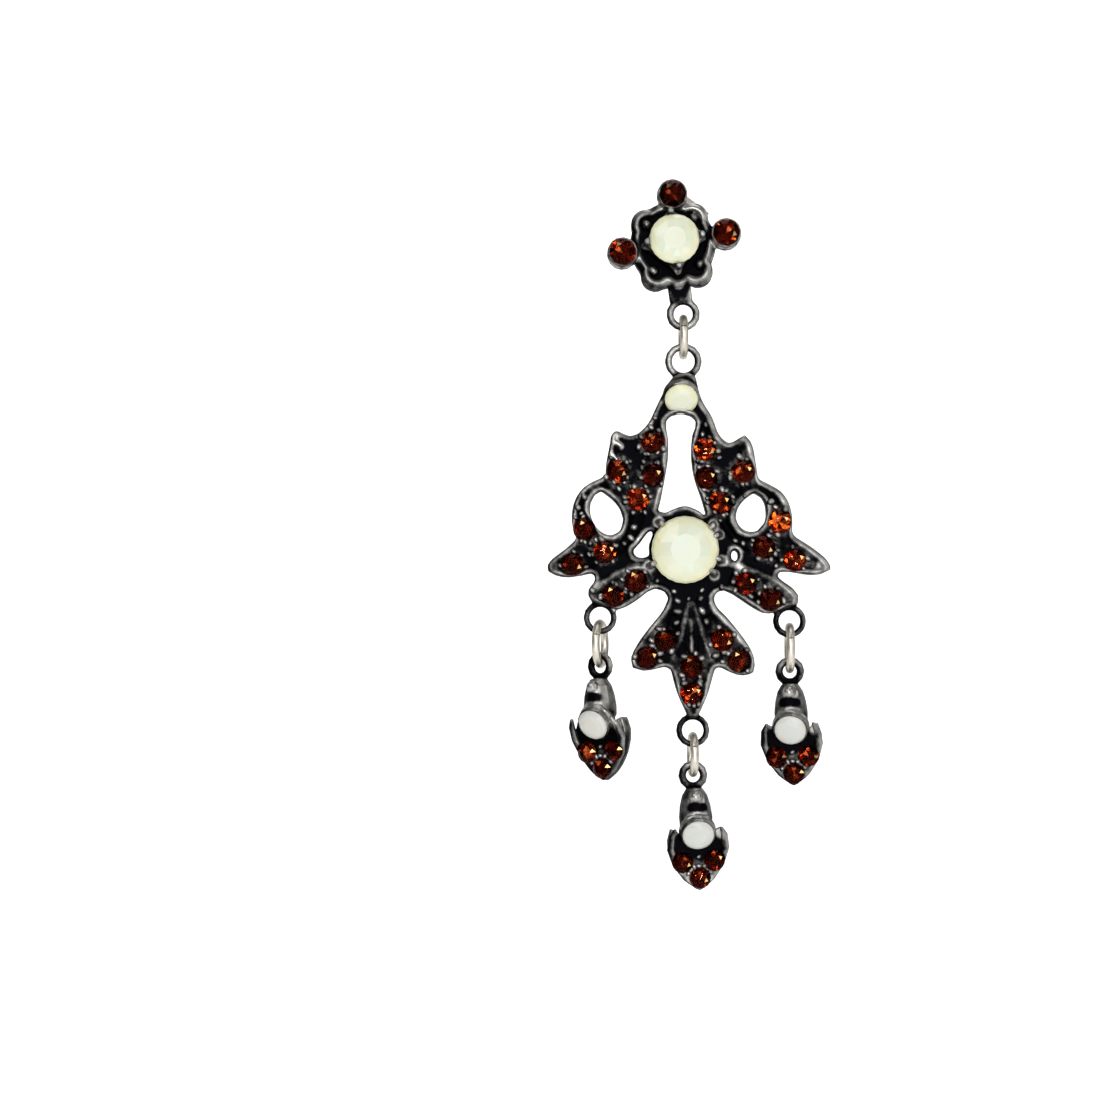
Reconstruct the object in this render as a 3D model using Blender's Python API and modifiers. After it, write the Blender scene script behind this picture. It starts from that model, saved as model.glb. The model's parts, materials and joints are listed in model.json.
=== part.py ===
"""Chandelier earring: a floret stud, an openwork pendant and three bud drops, hung on jump rings.

Metres, +Z up. The front of the earring looks along -Y. The origin is where the ear post leaves the
stud's flat back, so the plane y = 0 lies on the ear lobe. Tables hold shares of the named sizes.
"""

from math import atan2, cos, hypot, pi, radians, sin, sqrt

import bmesh
import bpy
from mathutils import Matrix, Vector

MM = 0.001

# Clearances
STONE_GAP = 0.06 * MM
LINK_GAP = 0.10 * MM
POST_GAP = 0.06 * MM
OVERRUN = 0.6 * MM
SEAM = 0.001 * MM

# Curve fineness
OUTLINE_STEP = 0.85 * MM
GROOVE_STEP = 1.6 * MM
SMOOTH_ANGLE = radians(38)

# How far a claw stands out from its stone as a share of its own radius, and up its crown
CLAW_OUT = 0.6
CLAW_UP = 0.7

# Stud
STUD_VALLEY = 4.5 * MM
STUD_LOBE_RADIUS = 1.55 * MM
STUD_THICKNESS = 1.5 * MM
STUD_RIM = 0.5 * MM
STUD_RECESS = 0.6 * MM
STUD_LOOP_DROP = 7.45 * MM
STUD_LOOP_HOLE = 0.98 * MM
STUD_LOOP_WIRE = 0.41 * MM
STUD_STEM_WIDTH = 2.4 * MM
STUD_STEM_ROOT = 0.85
CUP_DISTANCE = 5.55 * MM
CUP_RADIUS = 1.64 * MM
CUP_DEPTH = 2.75 * MM
STAGE_SIDE = 4.6 * MM
STAGE_HEIGHT = 2.9 * MM
STAGE_CLAW = 0.36 * MM
GRAIN_RADIUS = 0.55 * MM
GRAIN_DISTANCE = 3.5 * MM
GRAIN_SHOWN = 0.6
LOOP_PLANE = 1.0 * MM

# Ear post and clutch
POST_UP = 3.55 * MM
POST_ASIDE = 1.57 * MM
POST_RADIUS = 0.4 * MM
POST_LENGTH = 11.0 * MM
POST_ROUND = 0.4
CLUTCH_SET_BACK = 5.0 * MM
CLUTCH_SCROLL = 1.0 * MM
CLUTCH_SCROLL_DISTANCE = 1.7 * MM
CLUTCH_WIDTH = 3.8 * MM
CLUTCH_SHEET = 0.35 * MM
CLUTCH_ROLL = radians(260)
CLUTCH_STEPS = 9
CLUTCH_TURN = radians(52)

# Jump rings
RING_RADIUS = 1.95 * MM
RING_WIRE = 0.42 * MM

# Pendant
PENDANT_SPAN = 29.5 * MM
PENDANT_DROP = 38.6 * MM
PLATE_THICKNESS = 1.7 * MM
PLATE_BACK = 0.65 * MM
PLATE_CHAMFER = 0.16 * MM
GROOVE_DEPTH = 0.45 * MM
GROOVE_RADIUS = 1.3 * MM
RIDGE_RADIUS = 0.26 * MM
RIDGE_SUNK = 0.3
TOP_LOOP_HOLE = 1.16 * MM
TOP_LOOP_WIRE = 0.42 * MM
LOWER_LOOP_HOLE = 1.08 * MM
LOWER_LOOP_WIRE = 0.36 * MM
OPAL_CUP_RADIUS = 3.25 * MM
OPAL_CUP_HEIGHT = 1.2 * MM
OPAL_CLAW = 0.34 * MM
TOP_CUP_RADIUS = 1.98 * MM
TOP_CUP_DEPTH = 1.7 * MM
TOP_CUP_REACH = 1.35 * MM
TOP_CUP_TILT = radians(33)

# Drops
DROP_LOOP_HOLE = 0.7 * MM
DROP_LOOP_WIRE = 0.43 * MM
BARREL_RADIUS = 1.75 * MM
BARREL_LENGTH = 4.7 * MM
BARREL_TOP = 1.2 * MM
BARREL_FORWARD = 0.45 * MM
KNOB_RADIUS = 0.68 * MM
KNOB_FORWARD = 0.72
KNOB_DOWN = 1.0 * MM
DROP_CUP_RADIUS = 1.86 * MM
DROP_CUP_DEPTH = 2.3 * MM
DROP_CUP_REACH = 2.0 * MM
DROP_CUP_DOWN = 6.1 * MM
DROP_CUP_TILT = radians(28)
SHIELD_HALF_WIDTH = 3.1 * MM
SHIELD_TOP = 5.4 * MM
SHIELD_LENGTH = 6.45 * MM
SHIELD_THICKNESS = 1.3 * MM
SHIELD_BACK = 0.55 * MM
WING_RADIUS = 0.42 * MM
WING_CURL = 1.9 * MM
WING_DEPTH = 0.6

# Stones: radius of the girdle, heights as shares of it
AMBER_RADIUS = 1.2 * MM
CUP_AMBER_RADIUS = 1.4 * MM
DROP_AMBER_RADIUS = 1.1 * MM
STUD_OPAL_RADIUS = 2.6 * MM
PENDANT_OPAL_RADIUS = 3.5 * MM
TOP_OPAL_RADIUS = 1.74 * MM
DROP_OPAL_RADIUS = 1.64 * MM
AMBER_SIDES = 8
OPAL_SIDES = 12
TABLE_SHARE = 0.55
CROWN_SHARE = 0.36
GIRDLE_SHARE = 0.06
AMBER_PAVILION = 0.78
OPAL_PAVILION = 0.55
AMBER_PROUD = 0.1 * MM
SEAT_REACH = 1.2 * MM

# The stud's lobes: direction in degrees, reach as a share of the valley radius
STUD_LOBES = (
    (45, 1.14),
    (135, 1.14),
    (233, 1.19),
    (270, 1.10),
    (304, 1.22),
)

# The stud's bezel cups: name, direction in degrees, share of the cup distance
STUD_CUPS = (
    ("left", 183, 0.98),
    ("right", 2, 1.01),
    ("top", 83, 0.92),
)

# The pendant's outline, down the left side and up the right one: share of the span to the right of
# the top loop, share of the drop below it, and whether the line turns there in a corner
OUTLINE = (
    (-0.036, 0.044, False),
    (-0.062, 0.073, False),
    (-0.098, 0.127, False),
    (-0.132, 0.178, False),
    (-0.160, 0.199, False),
    (-0.193, 0.207, False),
    (-0.220, 0.198, False),
    (-0.241, 0.191, False),
    (-0.257, 0.202, False),
    (-0.264, 0.234, False),
    (-0.275, 0.277, False),
    (-0.278, 0.315, True),
    (-0.311, 0.326, False),
    (-0.354, 0.345, False),
    (-0.384, 0.376, False),
    (-0.397, 0.415, False),
    (-0.394, 0.453, False),
    (-0.381, 0.484, True),
    (-0.413, 0.509, False),
    (-0.452, 0.531, False),
    (-0.483, 0.557, False),
    (-0.482, 0.571, False),
    (-0.456, 0.582, False),
    (-0.403, 0.588, False),
    (-0.361, 0.583, False),
    (-0.329, 0.577, False),
    (-0.313, 0.586, False),
    (-0.320, 0.605, False),
    (-0.338, 0.620, False),
    (-0.340, 0.636, False),
    (-0.325, 0.656, False),
    (-0.297, 0.660, False),
    (-0.264, 0.668, False),
    (-0.236, 0.676, False),
    (-0.204, 0.667, False),
    (-0.157, 0.644, False),
    (-0.102, 0.618, False),
    (-0.070, 0.626, False),
    (-0.056, 0.644, False),
    (-0.072, 0.673, False),
    (-0.121, 0.721, False),
    (-0.167, 0.770, False),
    (-0.189, 0.809, False),
    (-0.183, 0.832, False),
    (-0.146, 0.840, False),
    (-0.100, 0.835, False),
    (-0.069, 0.829, False),
    (-0.048, 0.837, False),
    (-0.040, 0.863, False),
    (-0.026, 0.900, False),
    (0.012, 0.964, True),
    (0.044, 0.964, True),
    (0.083, 0.896, False),
    (0.097, 0.857, False),
    (0.106, 0.833, False),
    (0.127, 0.831, False),
    (0.164, 0.845, False),
    (0.209, 0.853, False),
    (0.241, 0.845, False),
    (0.246, 0.822, False),
    (0.231, 0.781, False),
    (0.195, 0.741, False),
    (0.146, 0.694, False),
    (0.102, 0.652, False),
    (0.108, 0.631, False),
    (0.137, 0.622, False),
    (0.171, 0.634, False),
    (0.223, 0.661, False),
    (0.303, 0.686, False),
    (0.334, 0.675, False),
    (0.370, 0.668, False),
    (0.400, 0.659, False),
    (0.399, 0.636, False),
    (0.380, 0.617, False),
    (0.348, 0.601, False),
    (0.325, 0.584, False),
    (0.334, 0.573, False),
    (0.371, 0.573, False),
    (0.435, 0.581, False),
    (0.484, 0.579, False),
    (0.516, 0.568, False),
    (0.513, 0.555, False),
    (0.470, 0.520, False),
    (0.421, 0.494, False),
    (0.380, 0.474, True),
    (0.381, 0.429, False),
    (0.371, 0.391, False),
    (0.343, 0.357, False),
    (0.301, 0.338, False),
    (0.260, 0.321, True),
    (0.251, 0.267, False),
    (0.236, 0.222, False),
    (0.215, 0.202, False),
    (0.193, 0.213, False),
    (0.162, 0.228, False),
    (0.135, 0.214, False),
    (0.095, 0.148, False),
    (0.065, 0.112, False),
    (0.049, 0.073, False),
    (0.042, 0.044, False),
)

# The gaps that are pierced through it, with the same columns
MIDDLE_GAP = (
    (-0.046, 0.150, False),
    (-0.062, 0.163, False),
    (-0.056, 0.213, False),
    (-0.057, 0.262, False),
    (-0.072, 0.337, False),
    (-0.093, 0.410, True),
    (-0.051, 0.417, False),
    (0.000, 0.405, False),
    (0.044, 0.415, False),
    (0.079, 0.424, True),
    (0.062, 0.377, False),
    (0.035, 0.314, False),
    (0.026, 0.253, False),
    (0.031, 0.200, False),
    (0.043, 0.162, False),
    (0.026, 0.150, False),
)
LEFT_LOOP_GAP = (
    (-0.293, 0.354, False),
    (-0.260, 0.373, False),
    (-0.226, 0.404, False),
    (-0.215, 0.431, False),
    (-0.225, 0.463, False),
    (-0.257, 0.476, False),
    (-0.304, 0.460, False),
    (-0.329, 0.426, False),
    (-0.332, 0.389, False),
    (-0.315, 0.364, False),
)
RIGHT_LOOP_GAP = (
    (0.247, 0.359, False),
    (0.274, 0.372, False),
    (0.289, 0.405, False),
    (0.285, 0.439, False),
    (0.257, 0.464, False),
    (0.223, 0.467, False),
    (0.193, 0.453, False),
    (0.181, 0.426, False),
    (0.190, 0.396, False),
    (0.218, 0.375, False),
)
LEFT_INNER_GAP = (
    (-0.112, 0.458, False),
    (-0.132, 0.469, False),
    (-0.156, 0.495, False),
    (-0.180, 0.515, False),
    (-0.178, 0.531, False),
    (-0.150, 0.537, False),
    (-0.124, 0.533, False),
    (-0.125, 0.500, False),
)
RIGHT_INNER_GAP = (
    (0.177, 0.514, False),
    (0.189, 0.522, False),
    (0.189, 0.538, False),
    (0.177, 0.546, False),
    (0.165, 0.538, False),
    (0.165, 0.522, False),
)

# Scooped grooves between the rims: share across, share down, share of the groove radius
GROOVES = (
    ((-0.078, 0.172, 0.88), (-0.111, 0.223, 1.0), (-0.113, 0.313, 1.0), (-0.155, 0.372, 1.0),
     (-0.172, 0.440, 0.85), (-0.205, 0.495, 0.85), (-0.281, 0.520, 1.0), (-0.394, 0.555, 1.0),
     (-0.448, 0.560, 0.8)),
    ((-0.245, 0.222, 0.78), (-0.240, 0.300, 1.0), (-0.195, 0.353, 0.9), (-0.165, 0.378, 1.0)),
    ((-0.272, 0.333, 0.75), (-0.325, 0.347, 0.75), (-0.358, 0.376, 0.8), (-0.366, 0.415, 0.85),
     (-0.352, 0.460, 0.95), (-0.300, 0.510, 0.9)),
    ((-0.121, 0.584, 0.8), (-0.172, 0.600, 1.0), (-0.253, 0.640, 1.0), (-0.300, 0.637, 0.85)),
    ((-0.033, 0.690, 0.75), (-0.068, 0.756, 0.95), (-0.132, 0.804, 1.0), (-0.155, 0.815, 0.85)),
    ((0.022, 0.745, 0.75), (0.023, 0.830, 1.0), (0.025, 0.900, 0.95), (0.027, 0.920, 0.8)),
    ((0.078, 0.690, 0.75), (0.128, 0.757, 1.0), (0.189, 0.812, 1.0), (0.212, 0.828, 0.85)),
    ((0.066, 0.172, 0.85), (0.074, 0.243, 1.0), (0.076, 0.321, 1.0), (0.122, 0.387, 1.0),
     (0.150, 0.445, 0.85), (0.190, 0.490, 0.85), (0.279, 0.509, 1.0), (0.388, 0.543, 1.0),
     (0.462, 0.557, 0.8)),
    ((0.214, 0.232, 0.78), (0.212, 0.304, 1.0), (0.165, 0.360, 0.9), (0.126, 0.387, 1.0)),
    ((0.262, 0.338, 0.75), (0.305, 0.355, 0.8), (0.333, 0.385, 0.85), (0.338, 0.439, 0.95),
     (0.315, 0.490, 0.85)),
    ((0.160, 0.588, 0.8), (0.215, 0.606, 1.0), (0.303, 0.650, 1.0), (0.350, 0.645, 0.85)),
)

# Raised ridges that part the leaves, with the same columns
RIDGES = (
    ((-0.125, 0.560, 0.8), (-0.235, 0.574, 1.0), (-0.305, 0.605, 0.9)),
    ((0.120, 0.556, 0.8), (0.245, 0.574, 1.1), (0.335, 0.606, 1.1), (0.385, 0.645, 0.9)),
    ((0.012, 0.690, 0.8), (-0.010, 0.750, 1.0), (-0.045, 0.812, 1.0)),
    ((0.036, 0.690, 0.8), (0.062, 0.750, 1.0), (0.095, 0.812, 1.0)),
)

# The pendant's small stones: name, share across, share down
PENDANT_AMBERS = (
    ("branch_left_1", -0.111, 0.223),
    ("branch_left_2", -0.113, 0.313),
    ("branch_left_3", -0.165, 0.378),
    ("branch_right_1", 0.074, 0.243),
    ("branch_right_2", 0.076, 0.321),
    ("branch_right_3", 0.126, 0.387),
    ("upper_leaf_left", -0.236, 0.303),
    ("upper_leaf_right", 0.207, 0.304),
    ("loop_left", -0.353, 0.460),
    ("loop_right", 0.336, 0.439),
    ("inner_left", -0.281, 0.520),
    ("inner_right", 0.279, 0.509),
    ("side_leaf_left", -0.394, 0.555),
    ("side_leaf_right", 0.388, 0.543),
    ("lower_leaf_left_1", -0.172, 0.599),
    ("lower_leaf_left_2", -0.253, 0.640),
    ("lower_leaf_right_1", 0.215, 0.606),
    ("lower_leaf_right_2", 0.303, 0.650),
    ("trefoil_left_1", -0.068, 0.758),
    ("trefoil_left_2", -0.132, 0.806),
    ("trefoil_right_1", 0.131, 0.758),
    ("trefoil_right_2", 0.190, 0.814),
    ("trefoil_centre_1", 0.023, 0.830),
    ("trefoil_centre_2", 0.023, 0.902),
)
PENDANT_OPAL_PLACE = (0.000, 0.517)
TOP_OPAL_PLACE = (-0.010, 0.108)

# The big stone's claws, directions in degrees
OPAL_CLAWS = (132, 41, 321, 204)

# Where the drops hang: name, share across, share down, size of the ring as a share of the top one,
# then in degrees how far the ring and the drop are turned to face left, and how far the drop leans
HANGERS = (
    ("left", -0.297, 0.697, 1.10, 14, 34, 3.5),
    ("right", 0.371, 0.706, 1.15, 2, 11, 2.0),
    ("bottom", 0.028, 1.000, 1.00, -3, -3, 3.0),
)

# Half of a drop's shield: share of the half width, share of its length below the wing tops
SHIELD_HALF = (
    (0.00, 0.30, False),
    (0.42, 0.22, False),
    (0.66, 0.04, False),
    (0.86, 0.00, False),
    (0.98, 0.18, False),
    (0.94, 0.42, False),
    (0.74, 0.66, False),
    (0.38, 0.88, False),
    (0.00, 1.00, True),
)

# A drop's wing: share of the half width, share of the length, share of the curl, share of the wire
WING = (
    (0.06, 0.96, 0.00, 0.50),
    (0.44, 0.80, 0.00, 0.75),
    (0.76, 0.57, 0.08, 0.95),
    (0.92, 0.32, 0.35, 1.00),
    (0.88, 0.12, 0.72, 0.85),
    (0.76, 0.00, 1.00, 0.45),
)

# A drop's small stones: share of the half width, share of the shield's length
DROP_AMBERS = (
    (-0.54, 0.54),
    (0.53, 0.53),
    (0.02, 0.80),
)

# Turned profiles, top to bottom: share of the radius, share of the height
BARREL_PROFILE = (
    (0.00, 0.00),
    (0.50, 0.03),
    (0.76, 0.18),
    (0.92, 0.40),
    (1.00, 0.64),
    (0.98, 0.84),
    (0.62, 0.98),
    (0.00, 1.00),
)
CUP_PROFILE = (
    (0.00, 0.00),
    (0.97, 0.00),
    (1.00, 0.40),
    (0.97, 0.72),
    (0.78, 1.00),
    (0.00, 1.00),
)

FINISHES = {
    "oxidised_silver": ((0.16, 0.16, 0.17), 0.34, 1.0),
    "bright_silver": ((0.78, 0.76, 0.70), 0.22, 1.0),
    "amber_glass": ((0.24, 0.02, 0.01), 0.06, 0.0),
    "opal_glass": ((0.90, 0.92, 0.84), 0.12, 0.0),
}


def clear_scene():
    for shape in list(bpy.data.objects):
        bpy.data.objects.remove(shape)


def new_collection(name):
    collection = bpy.data.collections.new(name)
    bpy.context.scene.collection.children.link(collection)
    return collection


def finish(name, colour, roughness, metallic):
    """A plain Principled finish in the part's own colour."""
    material = bpy.data.materials.new(name)
    material.use_nodes = True
    shader = material.node_tree.nodes["Principled BSDF"]
    shader.inputs["Base Color"].default_value = (*colour, 1.0)
    shader.inputs["Roughness"].default_value = roughness
    shader.inputs["Metallic"].default_value = metallic
    return material


def weld(mesh, distance):
    work = bmesh.new()
    work.from_mesh(mesh)
    bmesh.ops.remove_doubles(work, verts=work.verts, dist=distance)
    work.to_mesh(mesh)
    work.free()


def settled(shape, seam=SEAM):
    """The shape with its modifiers and its place worked into one plain mesh, its seams closed."""
    view = bpy.context.evaluated_depsgraph_get()
    seen = shape.evaluated_get(view)
    mesh = bpy.data.meshes.new_from_object(seen)
    plain = bpy.data.objects.new(shape.name, mesh)
    plain.matrix_world = seen.matrix_world.copy()
    WORKSHOP.objects.link(plain)
    weld(mesh, seam)
    bpy.data.objects.remove(shape)
    return plain


def fused(base, added, cut):
    """Solder the added shapes to the base, then cut the others out of it."""
    for operation, shapes in (("UNION", added), ("DIFFERENCE", cut)):
        for shape in shapes:
            boolean = base.modifiers.new(shape.name, "BOOLEAN")
            boolean.object = shape
            boolean.operation = operation
            boolean.solver = "MANIFOLD"
    whole = settled(base, 0.0)
    for shape in (*added, *cut):
        bpy.data.objects.remove(shape)
    return whole


def workshop_object(name, data):
    shape = bpy.data.objects.new(name, data)
    WORKSHOP.objects.link(shape)
    return shape


def turned(name, profile, sides, place, pitch=pi / 2):
    """A turned shape from a profile of radius and height, top to bottom; pitch lays its axis over."""
    mesh = bpy.data.meshes.new(name)
    points = [(radius, 0.0, height) for radius, height in profile]
    mesh.from_pydata(points, [(step, step + 1) for step in range(len(points) - 1)], [])
    shape = workshop_object(name, mesh)
    screw = shape.modifiers.new("turn", "SCREW")
    screw.steps = sides
    screw.render_steps = sides
    screw.use_merge_vertices = True
    screw.merge_threshold = SEAM
    shape.location = place
    shape.rotation_euler = (pitch, 0.0, 0.0)
    return settled(shape)


def profile_of(shares, radius, top, height):
    return [(share * radius, top - down * height) for share, down in shares]


def ring(name, hole, wire, place, sides=14, wire_sides=6):
    """A round wire ring that faces front, from the radius of its hole and of its wire."""
    bpy.ops.mesh.primitive_torus_add(
        major_segments=sides, minor_segments=wire_sides, major_radius=hole + wire, minor_radius=wire)
    shape = bpy.context.object
    shape.name = name
    shape.location = place
    shape.rotation_euler = (pi / 2, 0.0, 0.0)
    return settled(shape)


def rod(name, radius, back, front, across, height, sides=10):
    """A straight round rod along the depth, from its back end to its front end."""
    bpy.ops.mesh.primitive_cylinder_add(vertices=sides, radius=radius, depth=abs(back - front))
    shape = bpy.context.object
    shape.name = name
    shape.location = (across, (back + front) / 2, height)
    shape.rotation_euler = (pi / 2, 0.0, 0.0)
    return settled(shape)


def bead(name, radius, place, segments=10, rings=6):
    bpy.ops.mesh.primitive_uv_sphere_add(segments=segments, ring_count=rings, radius=radius)
    shape = bpy.context.object
    shape.name = name
    shape.location = place
    return settled(shape)


def tangent(before, point, after):
    come = point - before
    go = after - point
    return (come / come.length_squared + go / go.length_squared).normalized()


def smooth_line(points, corners, closed, step_length):
    """Points along a smooth curve through the given ones, straight into and out of its corners."""
    count = len(points)
    last = count if closed else count - 1
    line = []
    for index in range(last):
        start = points[index]
        end = points[(index + 1) % count]
        chord = end - start
        leave = chord.normalized()
        arrive = chord.normalized()
        if not corners[index] and (closed or index > 0):
            leave = tangent(points[index - 1], start, end)
        if not corners[(index + 1) % count] and (closed or index + 2 < count):
            arrive = tangent(start, end, points[(index + 2) % count])
        steps = max(1, round(chord.length / step_length))
        for step in range(steps):
            t = step / steps
            line.append(
                start * (2 * t**3 - 3 * t**2 + 1)
                + end * (3 * t**2 - 2 * t**3)
                + leave * chord.length * (t**3 - 2 * t**2 + t)
                + arrive * chord.length * (t**3 - t**2))
    if not closed:
        line.append(points[-1])
    return line


def on_pendant(across, down):
    return across * PENDANT_SPAN, -down * PENDANT_DROP


def pendant_outline(table):
    points = [Vector(on_pendant(across, down)) for across, down, corner in table]
    corners = [corner for across, down, corner in table]
    return smooth_line(points, corners, True, OUTLINE_STEP)


def slab(name, outlines, back, front, chamfer):
    """A flat cast shape between two depths: one outer outline, then the gaps inside it."""
    curve = bpy.data.curves.new(name, "CURVE")
    curve.dimensions = "2D"
    curve.fill_mode = "BOTH"
    curve.extrude = (back - front) / 2 - chamfer
    curve.bevel_depth = chamfer
    curve.bevel_resolution = 0
    curve.offset = -chamfer
    for outline in outlines:
        spline = curve.splines.new("POLY")
        spline.points.add(len(outline) - 1)
        for point, place in zip(spline.points, outline):
            point.co = (place[0], place[1], 0.0, 1.0)
        spline.use_cyclic_u = True
    shape = workshop_object(name, curve)
    shape.location = (0.0, (back + front) / 2, 0.0)
    shape.rotation_euler = (pi / 2, 0.0, 0.0)
    return settled(shape)


def wire(name, points, radii, resolution=2):
    """A round wire along a line, with its own radius at each point."""
    curve = bpy.data.curves.new(name, "CURVE")
    curve.dimensions = "3D"
    curve.bevel_depth = 1.0
    curve.bevel_resolution = resolution
    curve.use_fill_caps = True
    spline = curve.splines.new("POLY")
    spline.points.add(len(points) - 1)
    for point, place, radius in zip(spline.points, points, radii):
        point.co = (*place, 1.0)
        point.radius = radius
    return settled(workshop_object(name, curve))


def groove_cutter(name, table, surface):
    """A rod laid along a line and sunk into the surface by the groove's depth."""
    points = [Vector((*on_pendant(across, down), GROOVE_RADIUS * share)) for across, down, share in table]
    line = smooth_line(points, [False] * len(points), False, GROOVE_STEP)
    lift = GROOVE_RADIUS - GROOVE_DEPTH
    places = [(across, surface - lift * radius / GROOVE_RADIUS, height) for across, height, radius in line]
    return wire(name, places, [radius for across, height, radius in line])


def ridge(name, table, surface):
    points = [Vector((*on_pendant(across, down), RIDGE_RADIUS * share)) for across, down, share in table]
    line = smooth_line(points, [False] * len(points), False, GROOVE_STEP)
    places = [(across, surface, height) for across, height, radius in line]
    return wire(name, places, [radius for across, height, radius in line], 1)


def stone_heights(radius, pavilion_share):
    return radius * CROWN_SHARE, radius * GIRDLE_SHARE, radius * pavilion_share


def stone_mesh(name, radius, sides, pavilion_share):
    """A round cut stone that looks front: table, crown, girdle and pavilion."""
    crown, girdle, pavilion = stone_heights(radius, pavilion_share)
    profile = (
        (0.0, crown + girdle / 2),
        (radius * TABLE_SHARE, crown + girdle / 2),
        (radius, girdle / 2),
        (radius, -girdle / 2),
        (0.0, -pavilion),
    )
    shape = turned(name, profile, sides, (0.0, 0.0, 0.0), 0.0)
    mesh = shape.data
    bpy.data.objects.remove(shape)
    return mesh


def seat_cutter(name, radius, sides, pavilion_share, place, pitch=pi / 2):
    """The room that a stone needs: its own form grown by the gap, and open towards the front."""
    crown, girdle, pavilion = stone_heights(radius, pavilion_share)
    wide = radius + STONE_GAP
    profile = (
        (0.0, crown + SEAT_REACH),
        (wide, crown + SEAT_REACH),
        (wide, -girdle / 2 - STONE_GAP / 2),
        (0.0, -pavilion - 2 * STONE_GAP),
    )
    return turned(name, profile, sides, place, pitch)


def add_part(name, mesh, material, parent, place=(0.0, 0.0, 0.0), pitch=0.0):
    """A finished part in the earring's collection, placed under its parent."""
    part = bpy.data.objects.new(name, mesh)
    EARRING.objects.link(part)
    mesh.materials.clear()
    mesh.materials.append(material)
    part.parent = parent
    part.location = place
    part.rotation_euler = (pitch, 0.0, 0.0)
    return part


def add_casting(name, shape, material, parent, smooth_angle=SMOOTH_ANGLE):
    mesh = shape.data
    mesh.transform(shape.matrix_world)
    bpy.data.objects.remove(shape)
    mesh.shade_smooth()
    mesh.set_sharp_from_angle(angle=smooth_angle)
    return add_part(name, mesh, material, parent)


def add_empty(name, parent, place, turn=(0.0, 0.0, 0.0)):
    empty = bpy.data.objects.new(name, None)
    EARRING.objects.link(empty)
    empty.parent = parent
    empty.location = place
    empty.rotation_euler = turn
    return empty


def stud_reach(direction):
    """How far the stud's scalloped edge lies from its centre in a direction."""
    reach = STUD_VALLEY
    for degrees, share in STUD_LOBES:
        away = direction - radians(degrees)
        middle = share * STUD_VALLEY - STUD_LOBE_RADIUS
        beside = middle * sin(away)
        if abs(beside) < STUD_LOBE_RADIUS and cos(away) > 0.0:
            reach = max(reach, middle * cos(away) + sqrt(STUD_LOBE_RADIUS**2 - beside**2))
    return reach


def stud_outline(inset, steps=72):
    outline = []
    for step in range(steps):
        direction = 2 * pi * step / steps
        reach = stud_reach(direction) - inset
        outline.append((reach * cos(direction), reach * sin(direction)))
    return outline


def cup_place(degrees, share, depth):
    direction = radians(degrees)
    return CUP_DISTANCE * share * cos(direction), depth, CUP_DISTANCE * share * sin(direction)


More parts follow.
